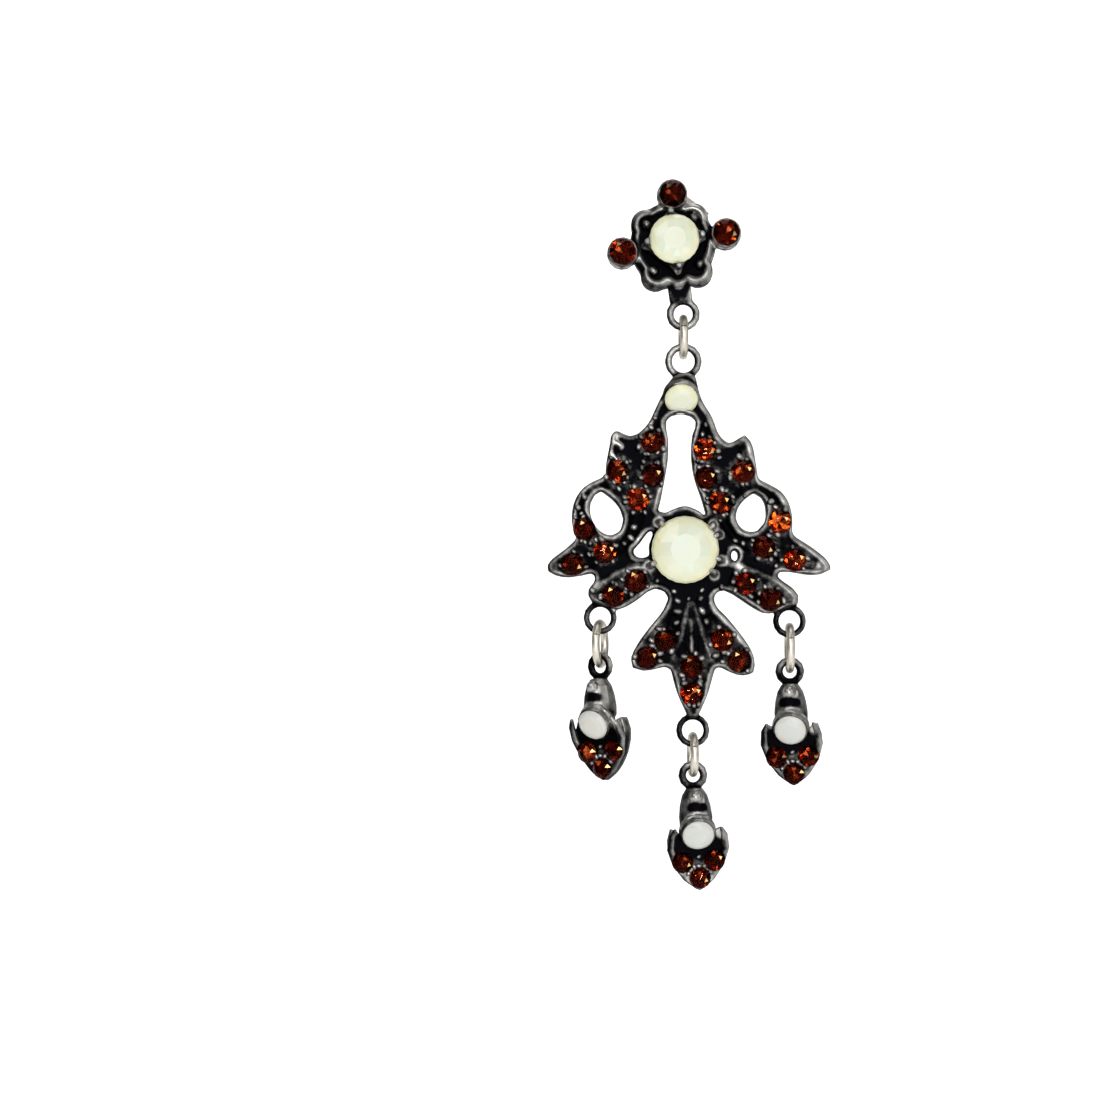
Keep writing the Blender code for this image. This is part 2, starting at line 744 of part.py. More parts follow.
def build_stud(frame, finishes):
    """The floret with its square box stage, three bezel cups, grains, stem and loop."""
    silver = finishes["oxidised_silver"]
    plate = slab("plate", [stud_outline(0.0)], 0.0, -STUD_THICKNESS, 0.0)
    pocket_floor = STUD_RECESS - STUD_THICKNESS
    pocket = slab("pocket", [stud_outline(STUD_RIM)], pocket_floor, -STUD_THICKNESS - OVERRUN, 0.0)
    plate = fused(plate, [], [pocket])

    stage_front = -STUD_THICKNESS - STAGE_HEIGHT
    bpy.ops.mesh.primitive_cube_add(size=1.0)
    stage = bpy.context.object
    stage.name = "stage"
    stage.scale = (STAGE_SIDE, -stage_front - STUD_THICKNESS / 2, STAGE_SIDE)
    stage.location.y = (stage_front - STUD_THICKNESS / 2) / 2
    stage.rotation_euler = (0.0, pi / 4, 0.0)
    added = [settled(stage)]

    stone_depth = stage_front
    claw_front = stone_depth - STUD_OPAL_RADIUS * CROWN_SHARE * CLAW_UP
    claw_distance = STUD_OPAL_RADIUS + STONE_GAP + STAGE_CLAW * CLAW_OUT
    for quarter in range(4):
        direction = quarter * pi / 2
        added.append(rod(
            "claw", STAGE_CLAW, -STUD_THICKNESS, claw_front,
            claw_distance * cos(direction), claw_distance * sin(direction), 8))

    cuts = [seat_cutter("opal_seat", STUD_OPAL_RADIUS, OPAL_SIDES, OPAL_PAVILION, (0.0, stone_depth, 0.0))]
    for name, degrees, share in STUD_CUPS:
        cup_profile = profile_of(CUP_PROFILE, CUP_RADIUS, CUP_DEPTH, CUP_DEPTH)
        added.append(turned("cup_" + name, cup_profile, 14, cup_place(degrees, share, 0.0)))
        seat_place = cup_place(degrees, share, -CUP_DEPTH)
        cuts.append(seat_cutter("seat_" + name, CUP_AMBER_RADIUS, AMBER_SIDES, AMBER_PAVILION, seat_place))
    for quarter in range(4):
        direction = pi / 4 + quarter * pi / 2
        across = GRAIN_DISTANCE * cos(direction)
        height = GRAIN_DISTANCE * sin(direction)
        depth = pocket_floor - GRAIN_RADIUS * GRAIN_SHOWN
        added.append(bead("grain", GRAIN_RADIUS, (across, depth, height)))

    loop_top = STUD_LOOP_DROP - STUD_LOOP_HOLE - STUD_LOOP_WIRE
    stem_line = [
        (-STUD_STEM_WIDTH / 2, -STUD_VALLEY * STUD_STEM_ROOT),
        (STUD_STEM_WIDTH / 2, -STUD_VALLEY * STUD_STEM_ROOT),
        (STUD_STEM_WIDTH / 2, -loop_top),
        (-STUD_STEM_WIDTH / 2, -loop_top),
    ]
    added.append(slab("stem", [stem_line], -LOOP_PLANE + STUD_LOOP_WIRE, -LOOP_PLANE - STUD_LOOP_WIRE, 0.0))
    added.append(ring("loop", STUD_LOOP_HOLE, STUD_LOOP_WIRE, (0.0, -LOOP_PLANE, -STUD_LOOP_DROP)))
    add_casting("stud_casting", fused(plate, added, cuts), silver, frame)

    opal = stone_mesh("stud_opal", STUD_OPAL_RADIUS, OPAL_SIDES, OPAL_PAVILION)
    add_part("stud_opal", opal, finishes["opal_glass"], frame, (0.0, stone_depth, 0.0), pi / 2)
    amber = stone_mesh("stud_amber", CUP_AMBER_RADIUS, AMBER_SIDES, AMBER_PAVILION)
    for name, degrees, share in STUD_CUPS:
        place = cup_place(degrees, share, -CUP_DEPTH)
        add_part("stud_amber_" + name, amber, finishes["amber_glass"], frame, place, pi / 2)


def build_post(finishes):
    """The straight post, from just behind the stud's back to its rounded end."""
    bpy.ops.mesh.primitive_cylinder_add(vertices=12, radius=POST_RADIUS, depth=POST_LENGTH)
    post = bpy.context.object
    post.name = "post"
    post.location.y = POST_GAP + POST_LENGTH / 2
    post.rotation_euler = (pi / 2, 0.0, 0.0)
    bevel = post.modifiers.new("round_end", "BEVEL")
    bevel.width = POST_RADIUS * POST_ROUND
    bevel.segments = 1
    add_casting("ear_post", settled(post), finishes["bright_silver"], None)


def build_clutch(finishes):
    """A butterfly clutch: one sheet whose two ends roll back towards the post."""
    sheet = bmesh.new()
    half = []
    for step in range(CLUTCH_STEPS + 1):
        angle = -pi / 2 + step * CLUTCH_ROLL / CLUTCH_STEPS
        half.append((
            CLUTCH_SCROLL_DISTANCE + CLUTCH_SCROLL * cos(angle),
            CLUTCH_SET_BACK + CLUTCH_SCROLL + CLUTCH_SCROLL * sin(angle)))
    line = [(-across, depth) for across, depth in reversed(half)] + half
    rows = []
    for height in (-CLUTCH_WIDTH / 2, CLUTCH_WIDTH / 2):
        rows.append([sheet.verts.new((across, depth, height)) for across, depth in line])
    for index in range(len(line) - 1):
        sheet.faces.new((rows[0][index], rows[0][index + 1], rows[1][index + 1], rows[1][index]))
    mesh = bpy.data.meshes.new("clutch")
    sheet.to_mesh(mesh)
    sheet.free()
    clutch = workshop_object("clutch", mesh)
    wall = clutch.modifiers.new("wall", "SOLIDIFY")
    wall.thickness = CLUTCH_SHEET
    wall.offset = 0.0
    hole = rod(
        "clutch_hole", POST_RADIUS + POST_GAP, CLUTCH_SET_BACK + CLUTCH_SCROLL,
        CLUTCH_SET_BACK - CLUTCH_SCROLL, 0.0, 0.0, 12)
    clutch = fused(clutch, [], [hole])
    clutch.matrix_world = Matrix.Rotation(-CLUTCH_TURN, 4, "Y") @ clutch.matrix_world
    bpy.context.view_layer.update()
    add_casting("ear_clutch", clutch, finishes["bright_silver"], None)


def jump_ring(name, parent, place, radius, turn, finishes):
    """A round wire ring seen edge on from the front, turned about the vertical."""
    bpy.ops.mesh.primitive_torus_add(
        major_segments=16, minor_segments=6, major_radius=radius, minor_radius=RING_WIRE)
    shape = bpy.context.object
    shape.name = name
    shape.rotation_euler = (0.0, pi / 2, 0.0)
    shape = settled(shape)
    part = add_casting("jump_ring_" + name, shape, finishes["bright_silver"], parent)
    part.location = place
    part.rotation_euler.z = -radians(turn)
    return part


def loop_play(hole):
    """How far a ring's wire lies from the middle of the hole that it hangs in."""
    return hole - RING_WIRE - LINK_GAP


def build_pendant(frame, finishes):
    """The openwork casting with its stones, from the top loop down."""
    plate_front = PLATE_BACK - PLATE_THICKNESS
    outlines = [pendant_outline(table) for table in (
        OUTLINE, MIDDLE_GAP, LEFT_LOOP_GAP, RIGHT_LOOP_GAP, LEFT_INNER_GAP, RIGHT_INNER_GAP)]
    plate = slab("pendant_plate", outlines, PLATE_BACK, plate_front, PLATE_CHAMFER)
    cuts = [groove_cutter("groove", table, plate_front) for table in GROOVES]
    loops = [(0.0, 0.0, TOP_LOOP_HOLE, TOP_LOOP_WIRE)]
    for name, across, down, ring_share, ring_turn, drop_turn, lean in HANGERS:
        loops.append((*on_pendant(across, down), LOWER_LOOP_HOLE, LOWER_LOOP_WIRE))
    for across, height, hole, loop_wire in loops:
        way = hole + loop_wire / 2
        cuts.append(rod("loop_way", way, PLATE_BACK + OVERRUN, plate_front - OVERRUN, across, height, 14))
    plate = fused(plate, [], cuts)

    added = [ridge("ridge", table, plate_front + RIDGE_RADIUS * RIDGE_SUNK) for table in RIDGES]
    for across, height, hole, loop_wire in loops:
        added.append(ring("loop", hole, loop_wire, (across, 0.0, height)))

    opal_across, opal_height = on_pendant(*PENDANT_OPAL_PLACE)
    opal_depth = plate_front - OPAL_CUP_HEIGHT
    cup_height = OPAL_CUP_HEIGHT + PLATE_THICKNESS / 2
    cup = profile_of(CUP_PROFILE, OPAL_CUP_RADIUS, 0.0, cup_height)
    added.append(turned("opal_cup", cup, 20, (opal_across, opal_depth, opal_height)))
    claw_front = opal_depth - PENDANT_OPAL_RADIUS * CROWN_SHARE * CLAW_UP
    claw_distance = PENDANT_OPAL_RADIUS + STONE_GAP + OPAL_CLAW * CLAW_OUT
    for degrees in OPAL_CLAWS:
        direction = radians(degrees)
        added.append(rod(
            "claw", OPAL_CLAW, PLATE_BACK - PLATE_THICKNESS / 2, claw_front,
            opal_across + claw_distance * cos(direction), opal_height + claw_distance * sin(direction), 8))

    top_across, top_height = on_pendant(*TOP_OPAL_PLACE)
    top_place = (top_across, -TOP_CUP_REACH, top_height)
    top_pitch = pi / 2 + TOP_CUP_TILT
    top_cup = profile_of(CUP_PROFILE, TOP_CUP_RADIUS, 0.0, TOP_CUP_DEPTH)
    added.append(turned("top_cup", top_cup, 16, top_place, top_pitch))

    cuts = [
        seat_cutter("opal_seat", PENDANT_OPAL_RADIUS, OPAL_SIDES, OPAL_PAVILION,
                    (opal_across, opal_depth, opal_height)),
        seat_cutter("top_seat", TOP_OPAL_RADIUS, OPAL_SIDES, OPAL_PAVILION, top_place, top_pitch),
    ]
    amber_depth = plate_front - AMBER_PROUD
    for name, across, down in PENDANT_AMBERS:
        x, z = on_pendant(across, down)
        cuts.append(seat_cutter("seat", AMBER_RADIUS, AMBER_SIDES, AMBER_PAVILION, (x, amber_depth, z)))
    add_casting("pendant_casting", fused(plate, added, cuts), finishes["oxidised_silver"], frame)

    opal = stone_mesh("pendant_opal", PENDANT_OPAL_RADIUS, OPAL_SIDES, OPAL_PAVILION)
    opal_place = (opal_across, opal_depth, opal_height)
    add_part("pendant_opal", opal, finishes["opal_glass"], frame, opal_place, pi / 2)
    top_opal = stone_mesh("top_opal", TOP_OPAL_RADIUS, OPAL_SIDES, OPAL_PAVILION)
    add_part("top_opal", top_opal, finishes["opal_glass"], frame, top_place, top_pitch)
    amber = stone_mesh("amber", AMBER_RADIUS, AMBER_SIDES, AMBER_PAVILION)
    for name, across, down in PENDANT_AMBERS:
        x, z = on_pendant(across, down)
        add_part("amber_" + name, amber, finishes["amber_glass"], frame, (x, amber_depth, z), pi / 2)


def on_shield(across, down):
    return across * SHIELD_HALF_WIDTH, -SHIELD_TOP - down * SHIELD_LENGTH


def drop_casting():
    """One bud drop: loop, knob, barrel, tilted cup, heart shield and its two curling wings."""
    half = [Vector(on_shield(across, down)) for across, down, corner in SHIELD_HALF]
    corners = [corner for across, down, corner in SHIELD_HALF]
    right = smooth_line(half, corners, False, OUTLINE_STEP)
    left = [Vector((-point.x, point.y)) for point in reversed(right[1:-1])]
    shield_front = SHIELD_BACK - SHIELD_THICKNESS
    shield = slab("shield", [right + left], SHIELD_BACK, shield_front, 0.0)

    added = [ring("loop", DROP_LOOP_HOLE, DROP_LOOP_WIRE, (0.0, 0.0, 0.0), 12)]
    barrel = profile_of(BARREL_PROFILE, BARREL_RADIUS, 0.0, BARREL_LENGTH)
    added.append(turned("barrel", barrel, 14, (0.0, -BARREL_FORWARD, -BARREL_TOP), 0.0))
    cup = profile_of(CUP_PROFILE, DROP_CUP_RADIUS, 0.0, DROP_CUP_DEPTH)
    cup_at = (0.0, -DROP_CUP_REACH, -DROP_CUP_DOWN)
    cup_pitch = pi / 2 + DROP_CUP_TILT
    added.append(turned("cup", cup, 14, cup_at, cup_pitch))
    knob_depth = -BARREL_FORWARD - BARREL_RADIUS * KNOB_FORWARD
    added.append(bead("knob", KNOB_RADIUS, (0.0, knob_depth, -BARREL_TOP - KNOB_DOWN)))
    for side in (-1, 1):
        points = [
            Vector((side * across * SHIELD_HALF_WIDTH, shield_front * WING_DEPTH - curl * WING_CURL,
                    -SHIELD_TOP - down * SHIELD_LENGTH))
            for across, down, curl, share in WING]
        added.append(wire("wing", points, [share * WING_RADIUS for across, down, curl, share in WING]))

    cuts = [seat_cutter("opal_seat", DROP_OPAL_RADIUS, OPAL_SIDES, OPAL_PAVILION, cup_at, cup_pitch)]
    for across, down in DROP_AMBERS:
        x, z = on_shield(across, down)
        cuts.append(seat_cutter(
            "seat", DROP_AMBER_RADIUS, AMBER_SIDES, AMBER_PAVILION, (x, shield_front - AMBER_PROUD, z)))
    return fused(shield, added, cuts)


def build_drops(frame, finishes):
    """The three bud drops, each on its own ring in one of the pendant's lower loops."""
    shape = drop_casting()
    casting = shape.data
    casting.transform(shape.matrix_world)
    bpy.data.objects.remove(shape)
    casting.shade_smooth()
    casting.set_sharp_from_angle(angle=SMOOTH_ANGLE)
    opal = stone_mesh("drop_opal", DROP_OPAL_RADIUS, OPAL_SIDES, OPAL_PAVILION)
    amber = stone_mesh("drop_amber", DROP_AMBER_RADIUS, AMBER_SIDES, AMBER_PAVILION)
    amber_depth = SHIELD_BACK - SHIELD_THICKNESS - AMBER_PROUD
    for name, across, down, ring_share, ring_turn, drop_turn, lean in HANGERS:
        x, z = on_pendant(across, down)
        ring_radius = RING_RADIUS * ring_share
        ring_height = z - loop_play(LOWER_LOOP_HOLE) - ring_radius
        jump_ring(name, frame, (x, 0.0, ring_height), ring_radius, ring_turn, finishes)
        drop_height = ring_height - ring_radius - loop_play(DROP_LOOP_HOLE)
        drop_pose = (0.0, -radians(lean), -radians(drop_turn))
        drop = add_empty("drop_" + name, frame, (x, 0.0, drop_height), drop_pose)
        label = "drop_" + name + "_"
        add_part(label + "casting", casting, finishes["oxidised_silver"], drop)
        add_part(label + "opal", opal, finishes["opal_glass"], drop,
                 (0.0, -DROP_CUP_REACH, -DROP_CUP_DOWN), pi / 2 + DROP_CUP_TILT)
        for number, (share_across, share_down) in enumerate(DROP_AMBERS, 1):
            stone_x, stone_z = on_shield(share_across, share_down)
            add_part(label + "amber_" + str(number), amber, finishes["amber_glass"], drop,
                     (stone_x, amber_depth, stone_z), pi / 2)


def build_earring():
    """Stud, post and clutch stay put; the top ring and the pendant hang and swing below them."""
    finishes = {name: finish(name, *values) for name, values in FINISHES.items()}

    # The post sits beside the stud's middle line, so the stud turns until its loop hangs below the post
    stud_turn = atan2(POST_ASIDE, POST_UP + STUD_LOOP_DROP)
    centre = Matrix.Rotation(-stud_turn, 3, "Y") @ Vector((-POST_ASIDE, 0.0, -POST_UP))
    stud = add_empty("stud_frame", None, centre, (0.0, -stud_turn, 0.0))
    build_stud(stud, finishes)
    build_post(finishes)
    build_clutch(finishes)

    loop_height = -hypot(POST_ASIDE, POST_UP + STUD_LOOP_DROP)
    ring_axis = add_empty("ring_axis", None, (0.0, -LOOP_PLANE, loop_height))
    ring_down = loop_play(STUD_LOOP_HOLE) + RING_RADIUS
    jump_ring("top", ring_axis, (0.0, 0.0, -ring_down), RING_RADIUS, 0, finishes)

    pendant_axis = add_empty("pendant_axis", ring_axis, (0.0, 0.0, -ring_down))
    pendant = add_empty("pendant_frame", pendant_axis, (0.0, 0.0, -RING_RADIUS - loop_play(TOP_LOOP_HOLE)))
    build_pendant(pendant, finishes)
    build_drops(pendant, finishes)


clear_scene()
EARRING = new_collection("chandelier_earring")
WORKSHOP = new_collection("workshop")
build_earring()
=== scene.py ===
"""Looks of a chandelier earring: darkened cast silver, red-brown and milky cut stones, bright jump rings.

The castings are poured again on a fine grid from the frame's own solids, with raised rims, ridges and
seed grains, and each point keeps how far it stands proud, so that the high places are rubbed bright.
Each point also keeps painted light: it is lighter where it faces up and to the right, and at painted
highlights.
"""

import json
import random
from itertools import combinations
from math import atan2, cos, hypot, pi, radians, sin, sqrt

import bmesh
import bpy
import numpy as np
from bpy.props import FloatProperty, FloatVectorProperty, IntProperty, PointerProperty
from mathutils import Matrix, Vector
from mathutils.bvhtree import BVHTree

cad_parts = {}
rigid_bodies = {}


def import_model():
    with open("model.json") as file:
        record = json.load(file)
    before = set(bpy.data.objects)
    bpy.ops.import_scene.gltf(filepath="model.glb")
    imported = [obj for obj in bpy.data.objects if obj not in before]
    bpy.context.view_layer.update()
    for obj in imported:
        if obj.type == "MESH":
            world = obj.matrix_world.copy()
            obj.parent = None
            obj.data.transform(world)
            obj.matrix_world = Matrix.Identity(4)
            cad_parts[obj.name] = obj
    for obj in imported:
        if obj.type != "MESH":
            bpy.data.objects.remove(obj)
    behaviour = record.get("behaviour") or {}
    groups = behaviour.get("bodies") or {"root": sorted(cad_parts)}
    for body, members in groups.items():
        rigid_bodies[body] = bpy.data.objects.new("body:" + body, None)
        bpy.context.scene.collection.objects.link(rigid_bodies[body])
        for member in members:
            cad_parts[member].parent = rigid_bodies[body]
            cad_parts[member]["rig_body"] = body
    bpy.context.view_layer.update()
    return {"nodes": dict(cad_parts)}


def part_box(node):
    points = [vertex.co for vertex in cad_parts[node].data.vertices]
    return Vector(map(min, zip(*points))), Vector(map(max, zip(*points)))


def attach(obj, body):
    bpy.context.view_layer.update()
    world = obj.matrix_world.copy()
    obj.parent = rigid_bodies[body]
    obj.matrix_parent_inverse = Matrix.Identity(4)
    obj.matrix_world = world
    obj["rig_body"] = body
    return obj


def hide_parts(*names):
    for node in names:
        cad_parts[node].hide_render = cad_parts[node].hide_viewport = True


bl_info = {
    "name": "Chandelier Earring",
    "version": (1, 0, 0),
    "blender": (4, 5, 0),
    "location": "View3D > Sidebar > Earring",
    "description": "Castings, stones, rings and stage of a chandelier earring",
    "category": "Object",
}

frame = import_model()
NODES = frame["nodes"]

MM = 0.001

# Places in the photograph are in its own pixels of so many millimetres. The pendant's top loop is the
# fixed point: its place there, and its height in the frame
PIXEL = 0.104
LOOP_PIXEL = (684.5, 361.0)
LOOP_HEIGHT = -16.112

# Depths of the pendant's front and of the plane in which its outline is read, in millimetres
PLATE_FRONT = -2.05
OUTLINE_LEVEL = -0.55

# The stud, in millimetres: where its middle lies, how far it is turned, how far the valleys of its outline
# reach, and its lobes: their radius, and the direction in degrees and the reach, as a share of the valleys'
STUD_CENTRE = (-1.053, 0.0, -3.736)
STUD_TURN = -atan2(1.57, 3.55 + 7.45)
STUD_VALLEY = 4.5
STUD_LOBE = 1.55
STUD_LOBES = ((45, 1.14), (135, 1.14), (233, 1.19), (270, 1.10), (304, 1.22))

# The stud's rim wire: its radius, how much thicker it is below than in the middle, how far it lies inside
# the outline, its depth, and in how many points it runs round
STUD_RIM_WIRE = 0.44
STUD_RIM_SWELL = 0.07
STUD_RIM_INSET = 0.22
STUD_RIM_DEPTH = -1.38
STUD_RIM_POINTS = 120

# A corner claw of the stud's box, from its tip on the stone to its root: reach, depth and wire radius, and
# how bright and how large each of the four is, from the right one round by the top
STUD_CLAW = ((2.62, -2.95, 0.42), (2.95, -2.75, 0.42), (3.35, -2.35, 0.22))
STUD_CLAWS = ((0.9, 1.0), (0.4, 0.8), (0.7, 1.0), (1.3, 1.2))

# Directions in degrees of painted highlights on the stud's rim, and how bright
RIM_SHINE = ((38, 0.9), (50, 0.9), (62, 0.7), (250, 0.6), (270, 0.7), (290, 0.6), (310, 0.7), (330, 0.6))

# Directions of painted highlights on the stud's round cups, and how far from the stone's middle and behind
# its girdle
CUP_SHINE = ((-0.75, -0.65), (-0.45, -0.89), (0.35, -0.93), (0.95, -0.3))
CUP_SIDE = 1.6
CUP_BACK = 0.75

# Seed grains on the pendant: place in the photograph, and size as a share of the usual one
PENDANT_GRAINS = (
    (655, 420, 0.9), (651, 429, 0.9), (659, 435, 0.8), (638.6, 449.4, 1.2), (645, 456, 0.9), (643.5, 464, 1),
    (658, 454, 0.9), (658, 465, 0.9), (641, 480, 1), (654, 486, 0.9), (641, 491, 0.8), (631, 489, 0.8),
    (619, 491, 0.9), (624.5, 500, 1), (650.5, 499, 1), (633, 515, 1.1), (645, 515, 0.9), (611, 460, 0.8),
    (630, 464, 0.9), (627, 479, 0.9), (614, 484, 0.8), (706, 427, 1), (703, 436, 0.9), (715, 445, 0.8),
    (697.6, 463, 0.8), (708, 468, 1), (719, 460, 0.9), (704, 492, 0.9), (714.5, 493, 0.9),
    (726.4, 493, 0.9), (707, 500.6, 0.8), (733, 499, 0.9), (744.6, 498.5, 0.8), (714.5, 514.6, 0.9),
    (726.4, 516, 0.8), (720, 523, 0.8), (730, 480, 1.1), (739.7, 458.5, 1.1), (746.7, 461, 0.8),
    (743, 486, 1.2), (584, 499, 1.1), (578, 510, 1.1), (581, 515.5, 0.8), (575, 520, 0.8), (581, 543.6, 0.9),
    (596, 542, 0.9), (590, 546, 0.9), (614.6, 548, 1.1), (589, 557, 0.9), (581, 557.6, 0.8),
    (596, 565, 0.9), (624, 546, 1.1), (631, 540, 1.2), (634, 529.5, 1.2), (770.6, 504, 1.1),
    (775.7, 509, 0.9), (770.6, 533.5, 0.9), (778, 538, 0.8), (752, 547.5, 0.9), (743, 546, 1.1),
    (735, 543, 0.9), (777.6, 552.6, 0.9), (770.6, 562, 1), (775.7, 568.5, 0.8), (803, 571, 0.8),
    (592, 593, 1.2), (600, 598, 0.9), (615.7, 587, 1), (622, 582, 0.9), (631, 597, 0.9), (614, 612, 1),
    (657, 583.5, 0.8), (735.8, 575.7, 1.1), (734.5, 593, 0.9), (750.5, 599, 0.9), (758, 604.5, 0.9),
    (764.6, 589, 0.9), (721, 590, 0.9), (673.6, 593.6, 0.9), (677, 603.4, 1.1), (676.7, 614, 1.3),
    (675.4, 625.7, 1.1), (663.8, 632, 0.9), (651, 642.7, 0.9), (659.3, 656, 1.3), (701.3, 592.7, 0.9),
    (699.5, 601.6, 1.1), (701.3, 613, 1.3), (705.7, 624.8, 1.3), (688, 601.6, 0.8), (695, 656, 1),
    (685, 659, 0.9), (714.6, 658, 1.3), (721.8, 664, 1), (682.5, 682, 0.8), (699.5, 683, 0.8),
    (688, 707, 0.9), (693, 708, 0.8),
)

# Claws that lap over the big milky stone, and the radius of the leaves' rims: wide where the outline looks
# to the right, and thin where it looks to the left. All show as far in front of the plate
OPAL_CLAWS = ((655.7, 521), (713, 527.8), (717.9, 537.5), (720.8, 563), (717, 579.5), (648, 569))
RIM_WIDE = 0.56
RIM_THIN = 0.31
RIM_SHOWN = 0.17

# Ridges that part the leaves: place in the photograph and radius in millimetres
RIDGES = (
    ((649, 570, 0.26), (634, 570, 0.36), (617, 576, 0.40), (600, 588, 0.40), (590, 594, 0.34)),
    ((719, 567, 0.28), (736, 567, 0.42), (754, 573, 0.52), (771, 582, 0.56), (786, 592, 0.54),
     (796, 600, 0.40)),
    ((689, 604, 0.24), (684, 622, 0.36), (680, 640, 0.42), (672, 661, 0.36)),
    ((693, 604, 0.24), (698, 622, 0.36), (703, 640, 0.42), (711, 661, 0.36)),
    ((691, 622, 0.20), (691, 645, 0.34), (691, 655, 0.26)),
    ((667, 516, 0.20), (676, 512.5, 0.26), (685, 510.5, 0.30), (694, 513, 0.26), (702, 517, 0.20)),
)

# Bright cuts of the graver on the upper left leaf: the places in the photograph where each starts and ends
BRIGHT_CUTS = (((615, 443), (621.5, 448.5)), ((612, 455), (618, 462.5)))

# How far beyond a jump ring's own end the middle of the loop lies that it hangs in, in millimetres
LOOP_LIFT = 0.2

# Grey leaf tips of the pendant: place in the photograph, reach in millimetres and brightness
LEAF_TIPS = (
    (556, 571, 0.7, 0.4), (566, 566, 0.6, 0.4), (818, 573, 0.8, 0.5), (806, 566, 0.7, 0.4),
    (828, 576, 0.5, 0.7), (740, 442, 0.5, 0.5), (747, 456, 0.5, 0.5), (750, 470, 0.4, 0.4),
    (615, 437, 0.4, 0.8), (775, 588, 0.7, 0.45), (790, 596, 0.7, 0.5), (740, 570, 0.4, 0.7),
    (590, 600, 0.6, 0.35),
)

# The jump rings: the radius of their wire in millimetres, the saw cut's width and its place from the top,
# as angles, and the turn of each ring about the vertical, in degrees
RING_WIRE = 0.42
SAW_CUT = 0.05
SAW_PLACE = radians(70)
RING_TURNS = {"jump_ring_top": 0, "jump_ring_left": 14, "jump_ring_right": 2, "jump_ring_bottom": -3}

# The collar behind each drop's milky stone, with a painted highlight on its upper half: how far outside the
# girdle, how far back, and its wire
COLLAR_OUT = 0.16
COLLAR_BACK = 0.85
COLLAR_WIRE = 0.17
COLLAR_POINTS = 40

# Where a drop's knob sits from the middle of its milky stone, in millimetres back and up, and how far
# below the knob the black band runs
KNOB_BACK = 0.29
KNOB_UP = 3.9
KNOB_GAP = 1.0

# Height of a stone's table above its girdle, as a share of its radius
TABLE_HEIGHT = 0.39

# Cuts of the stones, from the table down to the culet. Each ring of points has a radius and a height as
# shares of the stone's, its number of points as a share of the sides, and 1 where it is turned half a step
BRILLIANT_SIDES = 16
BRILLIANT = (
    (0.55, 0.385, 0.5, 0), (0.80, 0.22, 0.5, 1), (1.00, 0.03, 1.0, 0), (1.00, -0.03, 1.0, 0),
    (0.55, -0.42, 0.5, 1), (0.00, -0.78, 0.0, 0),
)
MILKY_SIDES = 24
MILKY_CUT = (
    (0.45, 0.31, 0.5, 0), (0.78, 0.22, 0.5, 1), (0.94, 0.12, 1.0, 0), (1.00, 0.03, 1.0, 0),
    (1.00, -0.03, 1.0, 0), (0.00, -0.54, 0.0, 0),
)

# How far a small stone may lean in its seat
SMALL_LEAN = radians(4)

# The small stones that look more orange than the others
WARM_STONES = ("stud_amber_left", "amber_branch_right_1", "amber_loop_right")

# Which way the one facet on the front of a small stone with a painted glint, in the gilt colour, may look
GLINT_SIDES = ((0.48, -0.86, 0.16), (0.48, -0.86, -0.10), (0.40, -0.86, 0.30), (-0.25, -0.92, 0.29))

# The sweep, in metres: its width, how far it runs forward and back, its bend's radius and its height
SWEEP_WIDTH = 3.4
SWEEP_FRONT = -1.6
SWEEP_BACK = 0.55
SWEEP_BEND = 0.35
SWEEP_HEIGHT = 1.9

# Where the camera and the lamps look, and the lamps: name, place, size in metres and power in watts
AIM = (-0.01415, -0.002, -0.03585)
LAMPS = (
    ("key", (-0.24, -0.34, 0.26), 0.34, 0.55),
    ("fill", (0.36, -0.22, 0.12), 0.30, 0.35),
    ("top", (0.05, 0.02, 0.42), 0.30, 0.60),
    ("front", (0.03, -0.42, 0.04), 0.34, 0.50),
    ("spark_1", (-0.05, -0.42, 0.04), 0.020, 0.16),
    ("spark_2", (0.06, -0.42, 0.0), 0.020, 0.16),
    ("spark_3", (0.0, -0.42, -0.09), 0.020, 0.16),
)


def colour(name, description, default):
    """A setting that is a colour."""
    return FloatVectorProperty(
        name=name, description=description, default=default, subtype="COLOR", size=3, min=0.0, max=1.0)


class EarringMetalSettings(bpy.types.PropertyGroup):
    """Sizes and colours of the metal"""

    cell: FloatProperty(
        name="Casting Cell", description="Fineness of the grid that a casting is poured on",
        default=0.134 * MM, min=0.05 * MM, max=0.5 * MM, unit="LENGTH", precision=5)
    flow: IntProperty(
        name="Flow", description="How often a casting's surface is smoothed", default=5, min=0, max=30)
    grain: FloatProperty(
        name="Grain", description="Radius of a seed grain", default=0.34 * MM, min=0.1 * MM, max=0.6 * MM,
        unit="LENGTH", precision=5)
    oxide: colour("Oxide", "Colour of the blackened recesses", (0.0025, 0.0026, 0.0035))
    # Rubbed Silver also shows where light is painted: on what faces up and to the right, and at painted
    # highlights
    rubbed: colour("Rubbed Silver", "Colour of the rubbed high places", (0.43, 0.42, 0.40))
    bright: colour("Bright Silver", "Colour of the jump rings", (0.93, 0.87, 0.75))


class EarringStoneSettings(bpy.types.PropertyGroup):
    """Colours of the stones"""

    amber: colour("Red-Brown Glass", "Colour of the small cut stones", (0.74, 0.22, 0.15))
    # This gilt colour is also the painted glint on one facet of each small stone's front
    spark: colour("Gilt Backing And Painted Glint", "Colour of a small stone's gilt facets", (1.0, 0.66, 0.26))
    milk: colour("Milky Glass", "Colour of the milky stones", (0.69, 0.73, 0.62))
    white: colour("Pearly Glass", "Colour of the drops' milky stones", (0.60, 0.60, 0.565))
    milk_edge: colour("Milky Edge", "Colour of the milky stones towards their girdle", (0.72, 0.71, 0.46))


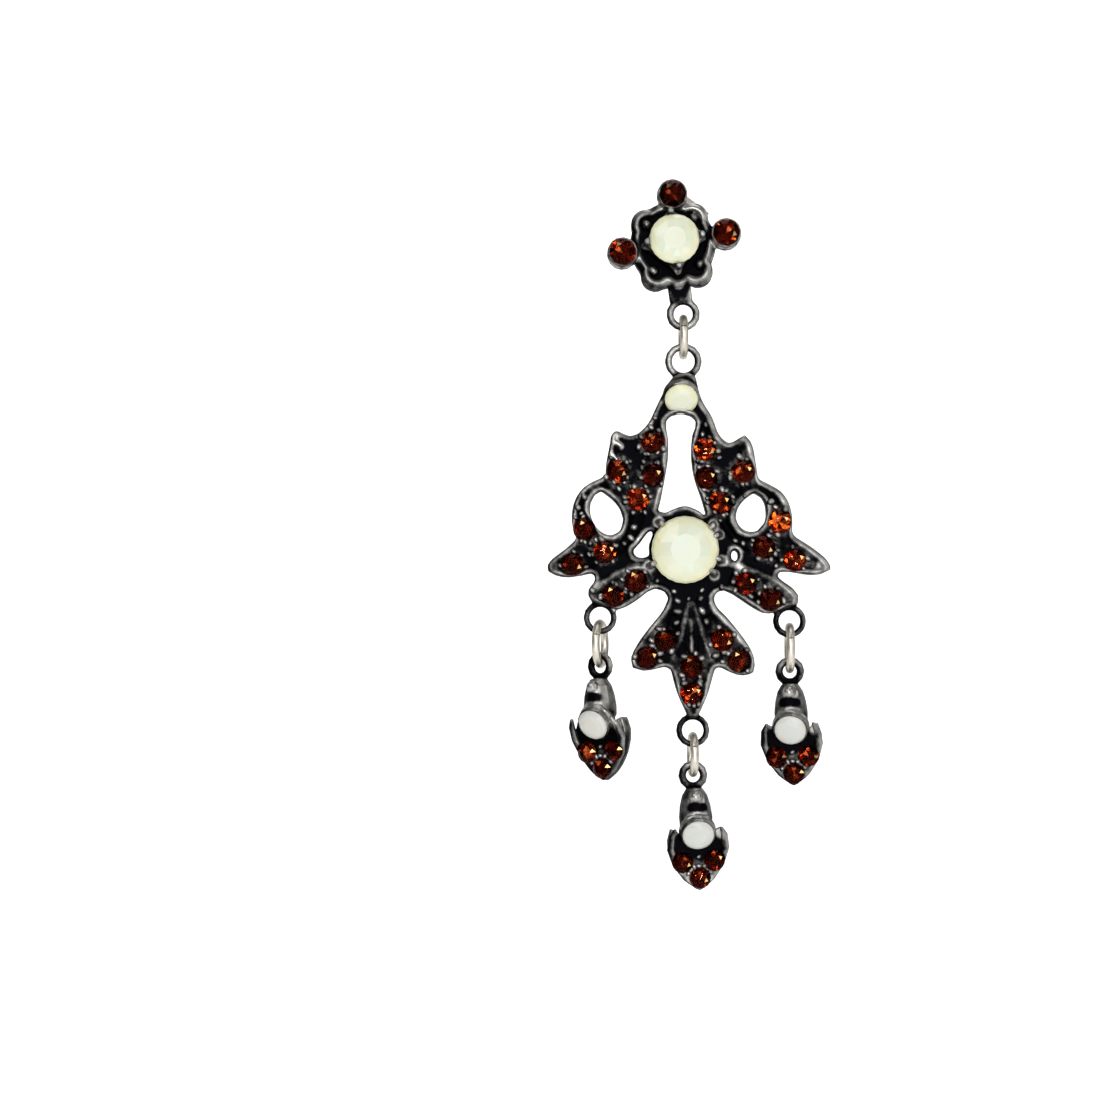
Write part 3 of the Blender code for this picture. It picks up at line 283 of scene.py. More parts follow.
class EarringStageSettings(bpy.types.PropertyGroup):
    """Floor, light and camera"""

    floor_depth: FloatProperty(
        name="Floor Depth", description="How far the floor lies below the post", default=0.15, min=0.08,
        max=1.0, unit="LENGTH")
    lens: FloatProperty(name="Lens", description="Focal length", default=80.0, min=20.0, max=200.0)
    distance: FloatProperty(
        name="Distance", description="From the camera to the earring", default=0.2535, min=0.1, max=2.0,
        unit="LENGTH")
    elevation: FloatProperty(
        name="Elevation", description="The camera's height angle", default=radians(-4), min=radians(-60),
        max=radians(60), subtype="ANGLE", unit="ROTATION")
    lamps: FloatProperty(
        name="Lamps", description="Share of the lamps' usual power", default=1.0, min=0.0, max=50.0)
    ambient: FloatProperty(
        name="Ambient", description="Strength of the light from all around", default=0.30, min=0.0, max=5.0)


def merged(node):
    """A frame node's solid with its loose triangles joined, in millimetres."""
    work = bmesh.new()
    work.from_mesh(NODES[node].data)
    bmesh.ops.remove_doubles(work, verts=work.verts, dist=0.001 * MM)
    bmesh.ops.scale(work, vec=(1 / MM, 1 / MM, 1 / MM), verts=work.verts)
    return work


def settled(name, data, modifiers=()):
    """The evaluated mesh of a passing object, which is then removed."""
    holder = bpy.data.objects.new(name, data)
    bpy.context.scene.collection.objects.link(holder)
    for kind, values in modifiers:
        modifier = holder.modifiers.new(kind.lower(), kind)
        for key, value in values.items():
            setattr(modifier, key, value)
    seen = holder.evaluated_get(bpy.context.evaluated_depsgraph_get())
    mesh = bpy.data.meshes.new_from_object(seen)
    mesh.name = name
    bpy.data.objects.remove(holder)
    return mesh


def place_piece(name, mesh, body, slot, replaced, *materials):
    """Put a finished mesh in the scene, on its body, with its materials."""
    piece = bpy.data.objects.new(name, mesh)
    bpy.context.scene.collection.objects.link(piece)
    for material in materials:
        mesh.materials.append(material)
    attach(piece, body)
    if replaced:
        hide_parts(*replaced)
    return piece


def to_mesh(work, name, smooth=True):
    """A finished mesh in metres, from work in millimetres."""
    mesh = bpy.data.meshes.new(name)
    bmesh.ops.scale(work, vec=(MM, MM, MM), verts=work.verts)
    work.to_mesh(mesh)
    work.free()
    if smooth:
        mesh.shade_smooth()
    return mesh


def wire(points, radii, closed=False):
    """A round wire along a line, with its own radius at each point."""
    curve = bpy.data.curves.new("wire", "CURVE")
    curve.dimensions = "3D"
    curve.bevel_depth = 1.0
    curve.bevel_resolution = 2
    curve.use_fill_caps = not closed
    spline = curve.splines.new("POLY")
    spline.points.add(len(points) - 1)
    for point, place, radius in zip(spline.points, points, radii):
        point.co = (*place, 1.0)
        point.radius = radius
    spline.use_cyclic_u = closed
    return settled("wire", curve)


def flowing(points, closed, fine=4):
    """More points along a smooth curve through the given ones."""
    count = len(points)
    line = []
    for index in range(count if closed else count - 1):
        near = range(index - 1, index + 3)
        a, b, c, d = (points[at % count if closed else min(max(at, 0), count - 1)] for at in near)
        for step in range(fine):
            t = step / fine
            line.append(
                b + (c - a) * (t / 2) + (a * 2 - b * 5 + c * 4 - d) * (t * t / 2)
                + (b * 3 - a - c * 3 + d) * (t**3 / 2))
    if not closed:
        line.append(points[-1])
    return line


def place_key(vert):
    """A vertex's place, by which vertices come in the same order in every run."""
    return round(vert.co.x, 3), round(vert.co.z, 3)


def section_lines(node, level):
    """The closed lines in which a plane across the depth cuts a node's solid."""
    work = merged(node)
    whole = work.verts[:] + work.edges[:] + work.faces[:]
    bmesh.ops.bisect_plane(
        work, geom=whole, dist=1e-5, plane_co=(0, level, 0), plane_no=(0, 1, 0), clear_inner=True,
        clear_outer=True)
    bmesh.ops.remove_doubles(work, verts=work.verts, dist=0.01)
    lines = []
    left = set(work.verts)
    while left:
        vert = min(left, key=place_key)
        left.discard(vert)
        line = [vert]
        while True:
            ahead = [edge.other_vert(vert) for edge in vert.link_edges if edge.other_vert(vert) in left]
            if not ahead:
                break
            vert = min(ahead, key=place_key)
            left.discard(vert)
            line.append(vert)
        if len(line) > 5:
            lines.append([vert.co.copy() for vert in line])
    work.free()
    return lines


def even(line, spacing):
    """The closed line again with its points evenly spaced."""
    walk = [line[0]]
    for start, end in zip(line, line[1:] + line[:1]):
        steps = max(1, round((end - start).length / 0.05))
        walk.extend(start.lerp(end, step / steps) for step in range(1, steps + 1))
    gaps = [0.0]
    for start, end in zip(walk, walk[1:]):
        gaps.append(gaps[-1] + (end - start).length)
    count = max(6, round(gaps[-1] / spacing))
    evened = []
    index = 0
    for step in range(count):
        while gaps[index] < gaps[-1] * step / count:
            index += 1
        evened.append(walk[index])
    return evened


def stones_of(body, kind, prefix=""):
    """Girdle centre, axis and radius of a body's stones of a kind."""
    found = []
    for node in sorted(NODES):
        if kind in node and node.startswith(prefix) and body_of(node) == body:
            middle, axis, corner = stone_seat(node)
            found.append((middle, axis, corner.length))
    return found


def rims(stones):
    """Raised wires just inside the pendant's outline and its gaps, slimmer where they pass a stone."""
    solid = merged("pendant_casting")
    tree = BVHTree.FromBMesh(solid)
    solid.free()
    wires = []
    for line in section_lines("pendant_casting", OUTLINE_LEVEL):
        line = flowing(even(line, 0.8), True, 3)
        sides = []
        for before, after in zip(line[-1:] + line[:-1], line[1:] + line[:1]):
            along = (after - before).normalized()
            sides.append(Vector((along.z, 0.0, -along.x)))
        hits = 0
        for point, side in zip(line, sides):
            for sign in (1, -1):
                start = point + side * (0.25 * sign)
                start.y = OUTLINE_LEVEL + 0.1
                hit = tree.ray_cast(start, Vector((0, -1, 0)))[0]
                hits += 0 if hit is None else sign
        inward = 1 if hits > 0 else -1
        places = []
        radii = []
        for point, side in zip(line, sides):
            out = -side * inward
            radius = RIM_THIN + (RIM_WIDE - RIM_THIN) * max(0.0, out.x * 0.8 + out.z * 0.45)
            for middle, axis, reach in stones:
                gap = hypot(point.x - middle.x, point.z - middle.z) - reach
                radius = min(radius, max(0.12, gap * 0.55))
            place = point - out * radius * 0.88
            places.append((place.x, PLATE_FRONT + radius - RIM_SHOWN, place.z))
            radii.append(radius)
        wires.append(wire(places, radii, True))
    return wires


def spread(mesh, columns, rounds):
    """Values of a mesh's points, evened out with their neighbours' a number of times."""
    count = len(mesh.vertices)
    ends = np.empty(len(mesh.edges) * 2, np.int64)
    mesh.edges.foreach_get("vertices", ends)
    one, other = ends[::2], ends[1::2]
    links = np.maximum(np.bincount(one, minlength=count) + np.bincount(other, minlength=count), 1)
    evened = columns.copy()
    for _ in range(rounds):
        for column in evened.T:
            total = np.bincount(one, weights=column[other], minlength=count)
            total += np.bincount(other, weights=column[one], minlength=count)
            column[:] = total / links
    return evened


def relief(mesh, rounds):
    """How far each point stands proud of the shape around it, its place and its normal, in millimetres."""
    points, normals = np.empty((2, len(mesh.vertices) * 3))
    mesh.vertices.foreach_get("co", points)
    mesh.vertices.foreach_get("normal", normals)
    points, normals = points.reshape(-1, 3) / MM, normals.reshape(-1, 3)
    flowed = spread(mesh, points, rounds)
    return np.einsum("ij,ij->i", points - flowed, normals), points, normals


def store(mesh, name, values):
    """Keep a value of each point in the mesh, for its material."""
    attribute = mesh.attributes.new(name, "FLOAT", "POINT")
    attribute.data.foreach_set("value", np.asarray(values, np.float32))


def nearness(points, place, reach):
    """1 for the points within reach of a place, falling to 0 at half as far again."""
    return np.clip((1.5 - np.linalg.norm(points - np.array(place), axis=1) / reach) * 2, 0.0, 1.0)


def ring_ends():
    """Where each jump ring passes through the loop above it and the loop below it, in millimetres."""
    ends = []
    for node in RING_TURNS:
        low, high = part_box(node)
        middle = (low + high) / 2 / MM
        outer = (high.z - low.z) / 2 / MM
        reach = Vector((0.0, 0.0, outer + LOOP_LIFT))
        ends += [middle + reach, middle - reach]
    return ends


def recast(
        node, extra, material, cell=None, flow=None, slot="oxidised_silver", plain=None, rub=0.0, spots=(),
        shades=()):
    """Pour a node's casting again on a fine grid, with what was added to it, rub its high places and paint
    light on it.

    A flat face that looks forward at the depth called plain stays black, and rub is how far the cloth
    reached into the hollows. The side walls are kept darker than what faces the front, and painted light
    makes what faces up and to the right lighter. Each spot is a place painted brighter, how far around it,
    and how bright; some are rubbed places and some are painted highlights. Each shade is a place that
    stayed darker, how far around it, and the share of its brightness it kept.
    """
    metal = bpy.context.scene.earring_metal
    cell = cell or metal.cell / MM
    work = merged(node)
    for mesh in extra:
        work.from_mesh(mesh)
        bpy.data.meshes.remove(mesh)
    bmesh.ops.remove_doubles(work, verts=work.verts, dist=0.0005)
    rough = bpy.data.meshes.new(node)
    work.to_mesh(rough)
    work.free()
    mesh = settled(node + "_cast", rough, (
        ("REMESH", {"mode": "VOXEL", "voxel_size": cell, "use_smooth_shade": True}),
        ("SMOOTH", {"factor": 0.5, "iterations": metal.flow if flow is None else flow}),
    ))
    bpy.data.meshes.remove(rough)
    mesh.transform(Matrix.Scale(MM, 4))
    mesh.shade_smooth()
    proud, points, normals = relief(mesh, round((0.75 / cell) ** 2))
    rub_and_painted_light = np.clip((proud + 0.01 + rub) / 0.14, 0.0, 1.0)
    # The side walls are kept darker than what faces the front, and painted light makes what faces up and to
    # the right brighter, as if lit from the upper right
    rub_and_painted_light *= np.clip(0.55 - normals[:, 1] * 0.9, 0.12, 1.0)
    rub_and_painted_light *= np.clip(0.6 + normals[:, 0] * 0.6 + normals[:, 2] * 0.45, 0.25, 1.0)
    if plain is not None:
        level = np.clip(1.0 - np.abs(points[:, 1] - plain) / 0.07, 0.0, 1.0)
        rub_and_painted_light *= 1.0 - level * np.clip((-normals[:, 1] - 0.8) / 0.15, 0.0, 1.0)
    for place, reach, shine in spots:
        rub_and_painted_light = np.maximum(rub_and_painted_light, shine * nearness(points, place, reach))
    for place, reach, kept in shades:
        rub_and_painted_light *= 1.0 - (1.0 - kept) * nearness(points, place, reach)
    rub_and_painted_light = spread(mesh, rub_and_painted_light[:, None], round((0.165 / cell) ** 2) + 1)[:, 0]
    back = np.clip((normals[:, 1] - 0.5) / 0.4, 0.0, 1.0)
    store(mesh, "rub_and_painted_light", np.maximum(rub_and_painted_light, back * 0.55))
    mesh.materials.clear()
    return place_piece(node + "_cast", mesh, body_of(node), slot, (node,), material)


def on_pendant(across, down):
    """Where a place in the photograph lies on the pendant, in millimetres right and up."""
    return (across - LOOP_PIXEL[0]) * PIXEL, LOOP_HEIGHT - (down - LOOP_PIXEL[1]) * PIXEL


def surface_point(tree, x, z):
    """Where a straight look from the front meets a surface, in millimetres."""
    place = tree.ray_cast(Vector((x, -20.0, z)) * MM, Vector((0, 1, 0)))[0]
    return place and place / MM


def strew(name, body, places, carrier, material):
    """Seed grains set into a casting: place across, height, and share of the usual size.

    A grain that would hang over an edge is left off.
    """
    tree = BVHTree.FromObject(carrier, bpy.context.evaluated_depsgraph_get())
    usual = bpy.context.scene.earring_metal.grain / MM
    work = bmesh.new()
    rub_and_painted_light = []
    chance = random.Random(len(places))
    for x, z, share in places:
        place = surface_point(tree, x, z)
        if place is None:
            continue
        radius = usual * share
        beside = [surface_point(tree, x + dx * radius, z + dz * radius)
                  for dx, dz in ((-0.8, 0), (0.8, 0), (0, -0.8), (0, 0.8))]
        if any(spot is None or spot.y > place.y + 0.8 for spot in beside):
            continue
        place.y -= radius * 0.2
        before = len(work.verts)
        shape = Matrix.Rotation(chance.uniform(0.0, pi), 4, "Y") @ Matrix.Diagonal(
            (chance.uniform(0.95, 1.4), 1.0, chance.uniform(0.8, 1.0), 1.0))
        bmesh.ops.create_icosphere(
            work, subdivisions=2, radius=radius, matrix=Matrix.Translation(place) @ shape)
        work.verts.ensure_lookup_table()
        rubbed = chance.uniform(0.0, 0.35)
        for vert in work.verts[before:]:
            away = (vert.co - place) / radius
            # Each grain is brighter on its top, toward the front, where it is rubbed, and painted light
            # makes it brighter toward the right and up, as if lit from the upper right; rubbed adds a share
            # drawn by chance
            rub_and_painted_light.append(away.x * 0.25 + away.z * 0.3 - away.y * 0.55 + rubbed)
    mesh = to_mesh(work, name)
    store(mesh, "rub_and_painted_light", np.clip(rub_and_painted_light, 0.0, 1.0))
    return place_piece(name, mesh, body, "oxidised_silver", (), material)


def set_inputs(tree, node, values):
    """Give a node's inputs their values, and join those that get another node's output."""
    for key, value in values.items():
        if isinstance(value, bpy.types.NodeSocket):
            tree.links.new(value, node.inputs[key])
        else:
            node.inputs[key].default_value = value


def add_node(tree, kind, values=None, **settings):
    """The outputs of a new shader node with its settings and inputs."""
    node = tree.nodes.new("ShaderNode" + kind)
    for key, value in settings.items():
        setattr(node, key, value)
    set_inputs(tree, node, values or {})
    return node.outputs


def new_material(name):
    """A new material, its node tree and its shader."""
    material = bpy.data.materials.new(name)
    material.use_nodes = True
    return material, material.node_tree, material.node_tree.nodes["Principled BSDF"]


def shades_of(tree, value, stops):
    """The colour of a ramp at a value. Each stop is a position and a colour, from 0 to 1."""
    node = tree.nodes.new("ShaderNodeValToRGB")
    node.color_ramp.elements[0].color = (*stops[0][1], 1.0)
    node.color_ramp.elements[1].color = (*stops[-1][1], 1.0)
    for position, shade in stops[1:-1]:
        node.color_ramp.elements.new(position).color = (*shade, 1.0)
    tree.links.new(value, node.inputs["Fac"])
    return node.outputs["Color"]


def patina_group():
    """Colour, roughness and height of silver that was blackened and then rubbed on its high places, and
    painted lighter where its input carries painted light and painted highlights.
    """
    found = bpy.data.node_groups.get("Rubbed Patina And Painted Light")
    if found:
        return found
    tree = bpy.data.node_groups.new("Rubbed Patina And Painted Light", "ShaderNodeTree")
    for name, kind, default in (
            ("Rub And Painted Light", "Float", 0.5), ("Oxide", "Color", (0.01, 0.01, 0.01, 1.0)),
            ("Metal", "Color", (0.5, 0.5, 0.5, 1.0)), ("Wear", "Float", 0.3)):
        socket = tree.interface.new_socket(name=name, in_out="INPUT", socket_type="NodeSocket" + kind)
        socket.default_value = default
    for name, kind in (("Color", "Color"), ("Roughness", "Float"), ("Height", "Float")):
        tree.interface.new_socket(name=name, in_out="OUTPUT", socket_type="NodeSocket" + kind)
    inside = tree.nodes.new("NodeGroupInput").outputs
    place = add_node(tree, "TexCoord")["Object"]
    cloud = add_node(tree, "TexNoise", {"Vector": place, "Scale": 480.0, "Detail": 6.0, "Roughness": 0.72})
    centred = add_node(tree, "Math", {0: cloud["Fac"], 1: 0.5}, operation="SUBTRACT")
    worn = add_node(
        tree, "Math", {0: centred[0], 1: inside["Wear"], 2: inside["Rub And Painted Light"]}, operation="MULTIPLY_ADD")
    rubbed = add_node(
        tree, "MapRange", {"Value": worn[0], "From Min": 0.18, "From Max": 1.05},
        interpolation_type="SMOOTHSTEP")["Result"]
    tint = add_node(
        tree, "Mix", {"Factor": rubbed, "A": inside["Oxide"], "B": inside["Metal"]}, data_type="RGBA")
    speck = add_node(tree, "TexNoise", {"Vector": place, "Scale": 5200.0, "Detail": 3.0})["Fac"]
    rough = add_node(tree, "MapRange", {"Value": rubbed, "To Min": 0.48, "To Max": 0.26})
    grainy = add_node(tree, "Math", {0: speck, 1: 0.12, 2: rough["Result"]}, operation="MULTIPLY_ADD")
    smooth = add_node(tree, "MapRange", {"Value": rubbed, "To Min": 1.0, "To Max": 0.25})
    height = add_node(tree, "Math", {0: speck, 1: smooth["Result"]}, operation="MULTIPLY")
    set_inputs(tree, tree.nodes.new("NodeGroupOutput"), {
        "Color": tint["Result"], "Roughness": grainy[0], "Height": height[0]})
    return tree


def silver(name, oxide, metal, wear, bump):
    """Cast or drawn silver with its patina, and the painted light that its points keep."""
    material, tree, shader = new_material(name)
    rub_and_painted_light = add_node(tree, "Attribute", attribute_name="rub_and_painted_light")
    patina = add_node(
        tree, "Group",
        {"Rub And Painted Light": rub_and_painted_light["Fac"], "Oxide": (*oxide, 1.0), "Metal": (*metal, 1.0), "Wear": wear},
        node_tree=patina_group())
    dents = add_node(
        tree, "Bump", {"Height": patina["Height"], "Strength": bump, "Distance": 0.02 * MM})
    set_inputs(tree, shader, {
        "Metallic": 1.0, "Base Color": patina["Color"], "Roughness": patina["Roughness"],
        "Normal": dents["Normal"]})
    return material


def cast_silver():
    """Silver of the castings, black in its hollows."""
    metal = bpy.context.scene.earring_metal
    return bpy.data.materials.get("darkened silver") or silver(
        "darkened silver", metal.oxide, metal.rubbed, 1.3, 0.6)


def drawn_silver():
    """Silver of the jump rings, the post and the clutch."""
    metal = bpy.context.scene.earring_metal
    dull = tuple(share * 0.35 for share in metal.bright)
    return bpy.data.materials.get("bright silver") or silver("bright silver", dull, metal.bright, 0.25, 0.15)


def amber_glass():
    """Clear red-brown glass, each facet with a slightly different depth of colour."""
    amber = bpy.context.scene.earring_stones.amber
    material, tree, shader = new_material("red-brown glass")
    place = add_node(tree, "TexCoord")["Object"]
    ripple = add_node(tree, "TexNoise", {"Vector": place, "Scale": 1000.0, "Detail": 1.0})
    waves = add_node(tree, "Bump", {"Height": ripple["Fac"], "Strength": 0.8, "Distance": 0.06 * MM})
    facet = add_node(tree, "Attribute", attribute_name="facet")
    deep = tuple(share * 0.75 for share in amber)
    tint = add_node(
        tree, "Mix", {"Factor": facet["Fac"], "A": (*deep, 1.0), "B": (*amber, 1.0)}, data_type="RGBA")
    set_inputs(tree, shader, {
        "Transmission Weight": 1.0, "Roughness": 0.02, "IOR": 1.26, "Specular Tint": (1.0, 0.20, 0.10, 1.0),
        "Base Color": tint["Result"], "Normal": waves["Normal"]})
    return material


def backing_and_painted_glint():
    """The back of a small stone, red-brown with a gilt facet here and there, and the painted glint: the gilt
    colour on one facet of its front.
    """
    spark = bpy.context.scene.earring_stones.spark
    material, tree, shader = new_material("gilt backing and painted glint")
    facet = add_node(tree, "Attribute", attribute_name="facet")
    tone = shades_of(tree, facet["Fac"], (
        (0.0, (0.020, 0.0006, 0.0003)), (0.62, (0.075, 0.0013, 0.0005)), (0.82, (0.30, 0.040, 0.006)),
        (0.92, spark), (1.0, spark)))
    set_inputs(tree, shader, {"Metallic": 1.0, "Roughness": 0.14, "Base Color": tone})
    return material


def milky_glass(name, milk, milk_edge):
    """Milky glass with faint clouds, and one colour in the middle and one towards the girdle."""
    material, tree, shader = new_material(name)
    girdle = add_node(tree, "Attribute", attribute_name="girdle")
    place = add_node(tree, "TexCoord")["Object"]
    cloud = add_node(tree, "TexNoise", {"Vector": place, "Scale": 420.0, "Detail": 2.0})
    drift = add_node(tree, "Math", {0: cloud["Fac"], 1: 0.5, 2: -0.25}, operation="MULTIPLY_ADD")
    moved = add_node(tree, "Math", {0: girdle["Fac"], 1: drift[0]}, operation="ADD")
    band = add_node(
        tree, "MapRange", {"Value": moved[0], "From Min": 0.35, "From Max": 1.15},
        interpolation_type="SMOOTHSTEP")
    tint = add_node(
        tree, "Mix", {"Factor": band["Result"], "A": (*milk, 1.0), "B": (*milk_edge, 1.0)}, data_type="RGBA")
    facet = add_node(tree, "Attribute", attribute_name="facet")
    play = shades_of(tree, facet["Fac"], (
        (0.0, (0.93, 0.98, 0.98)), (0.5, (1.0, 1.0, 1.0)), (1.0, (1.0, 0.96, 0.90))))
    varied = add_node(
        tree, "Mix", {"Factor": 1.0, "A": tint["Result"], "B": play}, data_type="RGBA",
        blend_type="MULTIPLY")
    set_inputs(tree, shader, {
        "Roughness": 0.06, "IOR": 1.52, "Subsurface Weight": 0.3, "Subsurface Radius": (1.0, 0.95, 0.8),
        "Subsurface Scale": 0.6 * MM, "Coat Weight": 0.5, "Coat Roughness": 0.03,
        "Base Color": varied["Result"]})
    return material


def stone_seat(node):
    """A cut stone's girdle centre, its axis and the way to a girdle corner, read from its largest facet."""
    work = merged(node)
    bmesh.ops.dissolve_limit(work, angle_limit=radians(2), verts=work.verts, edges=work.edges)
    table = max(work.faces, key=lambda face: face.calc_area())
    axis = table.normal.copy()
    middle = table.calc_center_median()
    corner = max((vert.co - middle - axis * (vert.co - middle).dot(axis) for vert in work.verts),
                 key=lambda away: away.length)
    girdle = middle - axis * corner.length * TABLE_HEIGHT
    work.free()
    return girdle, axis, corner


def cut_stone(node, slot, sides, rings, seed, lean, *materials):
    """A round stone: rings of points from the table down to the culet, hulled and flattened to facets.

    It leans a little, by chance. A second material goes on its back, and on one slanting facet of its front
    as a painted glint.
    """
    middle, axis, corner = stone_seat(node)
    radius = corner.length
    across = corner.normalized()
    basis = Matrix((across, axis.cross(across), axis)).transposed().to_4x4()
    place = Matrix.Translation(middle) @ basis
    work = bmesh.new()
    for share, height, count, half in rings:
        points = max(1, round(sides * count))
        if points == 1:
            bmesh.ops.create_vert(work, co=(0.0, 0.0, height * radius))
            continue
        turn = Matrix.Rotation(pi / points * half, 4, "Z")
        lift = Matrix.Translation((0.0, 0.0, height * radius))
        bmesh.ops.create_circle(work, segments=points, radius=share * radius, matrix=lift @ turn)
    bmesh.ops.convex_hull(work, input=work.verts)
    bmesh.ops.dissolve_limit(work, angle_limit=radians(1.5), verts=work.verts, edges=work.edges)
    bmesh.ops.recalc_face_normals(work, faces=work.faces)
    chance = random.Random(seed)
    warmth = chance.uniform(-0.12, 0.12) + (0.25 if node in WARM_STONES else 0.0)
    glint = None
    # The painted glint: the slanting front facet that looks most toward the chosen lamp gets the gilt colour
    if len(materials) > 1:
        toward = basis.to_3x3().transposed() @ Vector(chance.choice(GLINT_SIDES))
        slanting = [face for face in work.faces
                    if face.normal.z < 0.95 and face.calc_center_median().z > 0.2 * radius]
        glint = max(slanting, key=lambda face: face.normal.dot(toward))
        for face in work.faces:
            if face is glint or face.calc_center_median().z < 0.0:
                face.material_index = 1
    bmesh.ops.split_edges(work, edges=work.edges[:])
    facet_layer = work.verts.layers.float.new("facet")
    girdle_layer = work.verts.layers.float.new("girdle")
    for face in work.faces:
        shade = 1.0 if face is glint else min(1.0, max(0.0, chance.random() + warmth))
        for vert in face.verts:
            vert[facet_layer] = shade
            vert[girdle_layer] = hypot(vert.co.x, vert.co.y) / radius
    tilt = Matrix.Rotation(chance.uniform(-lean, lean), 4, "X")
    tilt @= Matrix.Rotation(chance.uniform(-lean, lean), 4, "Y")
    bmesh.ops.transform(work, matrix=place @ tilt, verts=work.verts)
    place_piece(
        node + "_cut", to_mesh(work, node + "_cut", False), body_of(node), slot, (node,), *materials)


def body_of(node):
    """The body that a node moves with."""
    return NODES[node]["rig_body"]


def stud_point(reach, direction, depth):
    """A point of the stud by its reach and direction from the stud's middle, in millimetres."""
    flat = Vector((reach * cos(direction), depth, reach * sin(direction)))
    return Matrix.Rotation(STUD_TURN, 3, "Y") @ flat + Vector(STUD_CENTRE)


def stud_reach(direction):
    """How far the stud's scalloped outline reaches in a direction."""
    reach = STUD_VALLEY
    for degrees, share in STUD_LOBES:
        away = direction - radians(degrees)
        middle = share * STUD_VALLEY - STUD_LOBE
        beside = middle * sin(away)
        if abs(beside) < STUD_LOBE and cos(away) > 0.0:
            reach = max(reach, middle * cos(away) + sqrt(STUD_LOBE**2 - beside**2))
    return reach


class EARRING_OT_stud(bpy.types.Operator):
    """Pour the stud's casting with its thick scalloped rim"""

    bl_idname = "earring.stud"
    bl_label = "Stud"

    def execute(self, context):
        places = []
        radii = []
        for step in range(STUD_RIM_POINTS):
            direction = 2 * pi * step / STUD_RIM_POINTS
            radius = STUD_RIM_WIRE - STUD_RIM_SWELL * sin(direction)
            reach = stud_reach(direction) - radius - STUD_RIM_INSET
            places.append(stud_point(reach, direction, STUD_RIM_DEPTH))
            radii.append(radius)
        extra = [wire(places, radii, True)]
        spots = []
        for corner, (shine, size) in enumerate(STUD_CLAWS):
            claw = [stud_point(reach, corner * pi / 2, depth) for reach, depth, radius in STUD_CLAW]
            extra.append(wire(claw, [radius * size for reach, depth, radius in STUD_CLAW]))
            spots += [(place, 0.5 * size, shine) for place in claw]
        # Painted highlights on the rim
        for degrees, shine in RIM_SHINE:
            direction = radians(degrees)
            spots.append((stud_point(stud_reach(direction) - 0.6, direction, -1.8), 0.5, shine))
        # Painted highlights on the round cups
        for middle, axis, reach in stones_of("stud", "amber"):
            for across, height in CUP_SHINE:
                place = middle + Vector((across * CUP_SIDE, CUP_BACK, height * CUP_SIDE))
                spots.append((place, 0.5, 0.85))
        recast("stud_casting", extra, cast_silver(), cell=0.10, spots=spots)
        return {"FINISHED"}


class EARRING_OT_fittings(bpy.types.Operator):
    """Pour the post and the clutch"""

    bl_idname = "earring.fittings"
    bl_label = "Post and Clutch"

    def execute(self, context):
        for node in ("ear_post", "ear_clutch"):
            piece = recast(node, [], drawn_silver(), cell=0.07, flow=4, slot="bright_silver")
            values = piece.data.attributes["rub_and_painted_light"].data
            values.foreach_set("value", np.full(len(values), 0.8, np.float32))
        return {"FINISHED"}


class EARRING_OT_pendant(bpy.types.Operator):
    """Pour the pendant with its rims and ridges, and set its seed grains and claws"""

    bl_idname = "earring.pendant"
    bl_label = "Pendant"

    def execute(self, context):
        small = stones_of("pendant", "amber", "amber")
        extra = rims(small)
        spots = []
        for ridge in RIDGES:
            points = []
            for across, down, radius in ridge:
                x, z = on_pendant(across, down)
                points.append(Vector((x, z, radius)))
            line = flowing(points, False, 4)
            places = [(point.x, PLATE_FRONT + point.z - RIM_SHOWN, point.y) for point in line]
            extra.append(wire(places, [point.z for point in line]))
            spots += [((x, PLATE_FRONT - RIM_SHOWN, z), 0.28, 0.42) for x, y, z in places]
        for start, end in BRIGHT_CUTS:
            cut = [Vector((x, PLATE_FRONT, z)) for x, z in (on_pendant(*start), on_pendant(*end))]
            extra.append(wire(cut, [0.22, 0.18]))
            spots += [(cut[0].lerp(cut[1], share), 0.2, 1.3) for share in (0.0, 0.25, 0.5, 0.75, 1.0)]
        for across, down, reach, shine in LEAF_TIPS:
            x, z = on_pendant(across, down)
            spots.append(((x, PLATE_FRONT - RIM_SHOWN, z), reach, shine))
        spots += [(place, reach + 0.3, 0.3) for place, axis, reach in small]
        middle, axis, reach = stones_of("pendant", "pendant_opal")[0]
        for across, down in OPAL_CLAWS:
            x, z = on_pendant(across, down)
            away = Vector((x - middle.x, 0.0, z - middle.z)).normalized()
            root = middle + away * (reach + 0.5)
            bend = middle + away * (reach + 0.12)
            root.y, bend.y = PLATE_FRONT - 0.2, middle.y - 0.18
            tip = middle + away * (reach - 0.3)
            tip.y = middle.y - 0.42
            extra.append(wire([root, bend, tip], [0.34, 0.32, 0.24]))
            spots += [(place, 0.45, 1.2) for place in (root, bend, tip)]
        shades = [(place, 1.3, 0.45) for place in ring_ends()[2:]]
        casting = recast(
            "pendant_casting", extra, cast_silver(), plain=PLATE_FRONT, spots=spots, shades=shades)
        grains = [(*on_pendant(across, down), share) for across, down, share in PENDANT_GRAINS]
        chance = random.Random(5)
        for middle, axis, reach in small:
            first = chance.uniform(0.0, pi / 2)
            for quarter in range(4):
                direction = first + quarter * pi / 2 + chance.uniform(-0.25, 0.25)
                away = reach + 0.14
                grains.append((
                    middle.x + away * cos(direction), middle.z + away * sin(direction),
                    chance.uniform(0.8, 1.15)))
        strew("pendant_grains", "pendant", grains, casting, cast_silver())
        return {"FINISHED"}


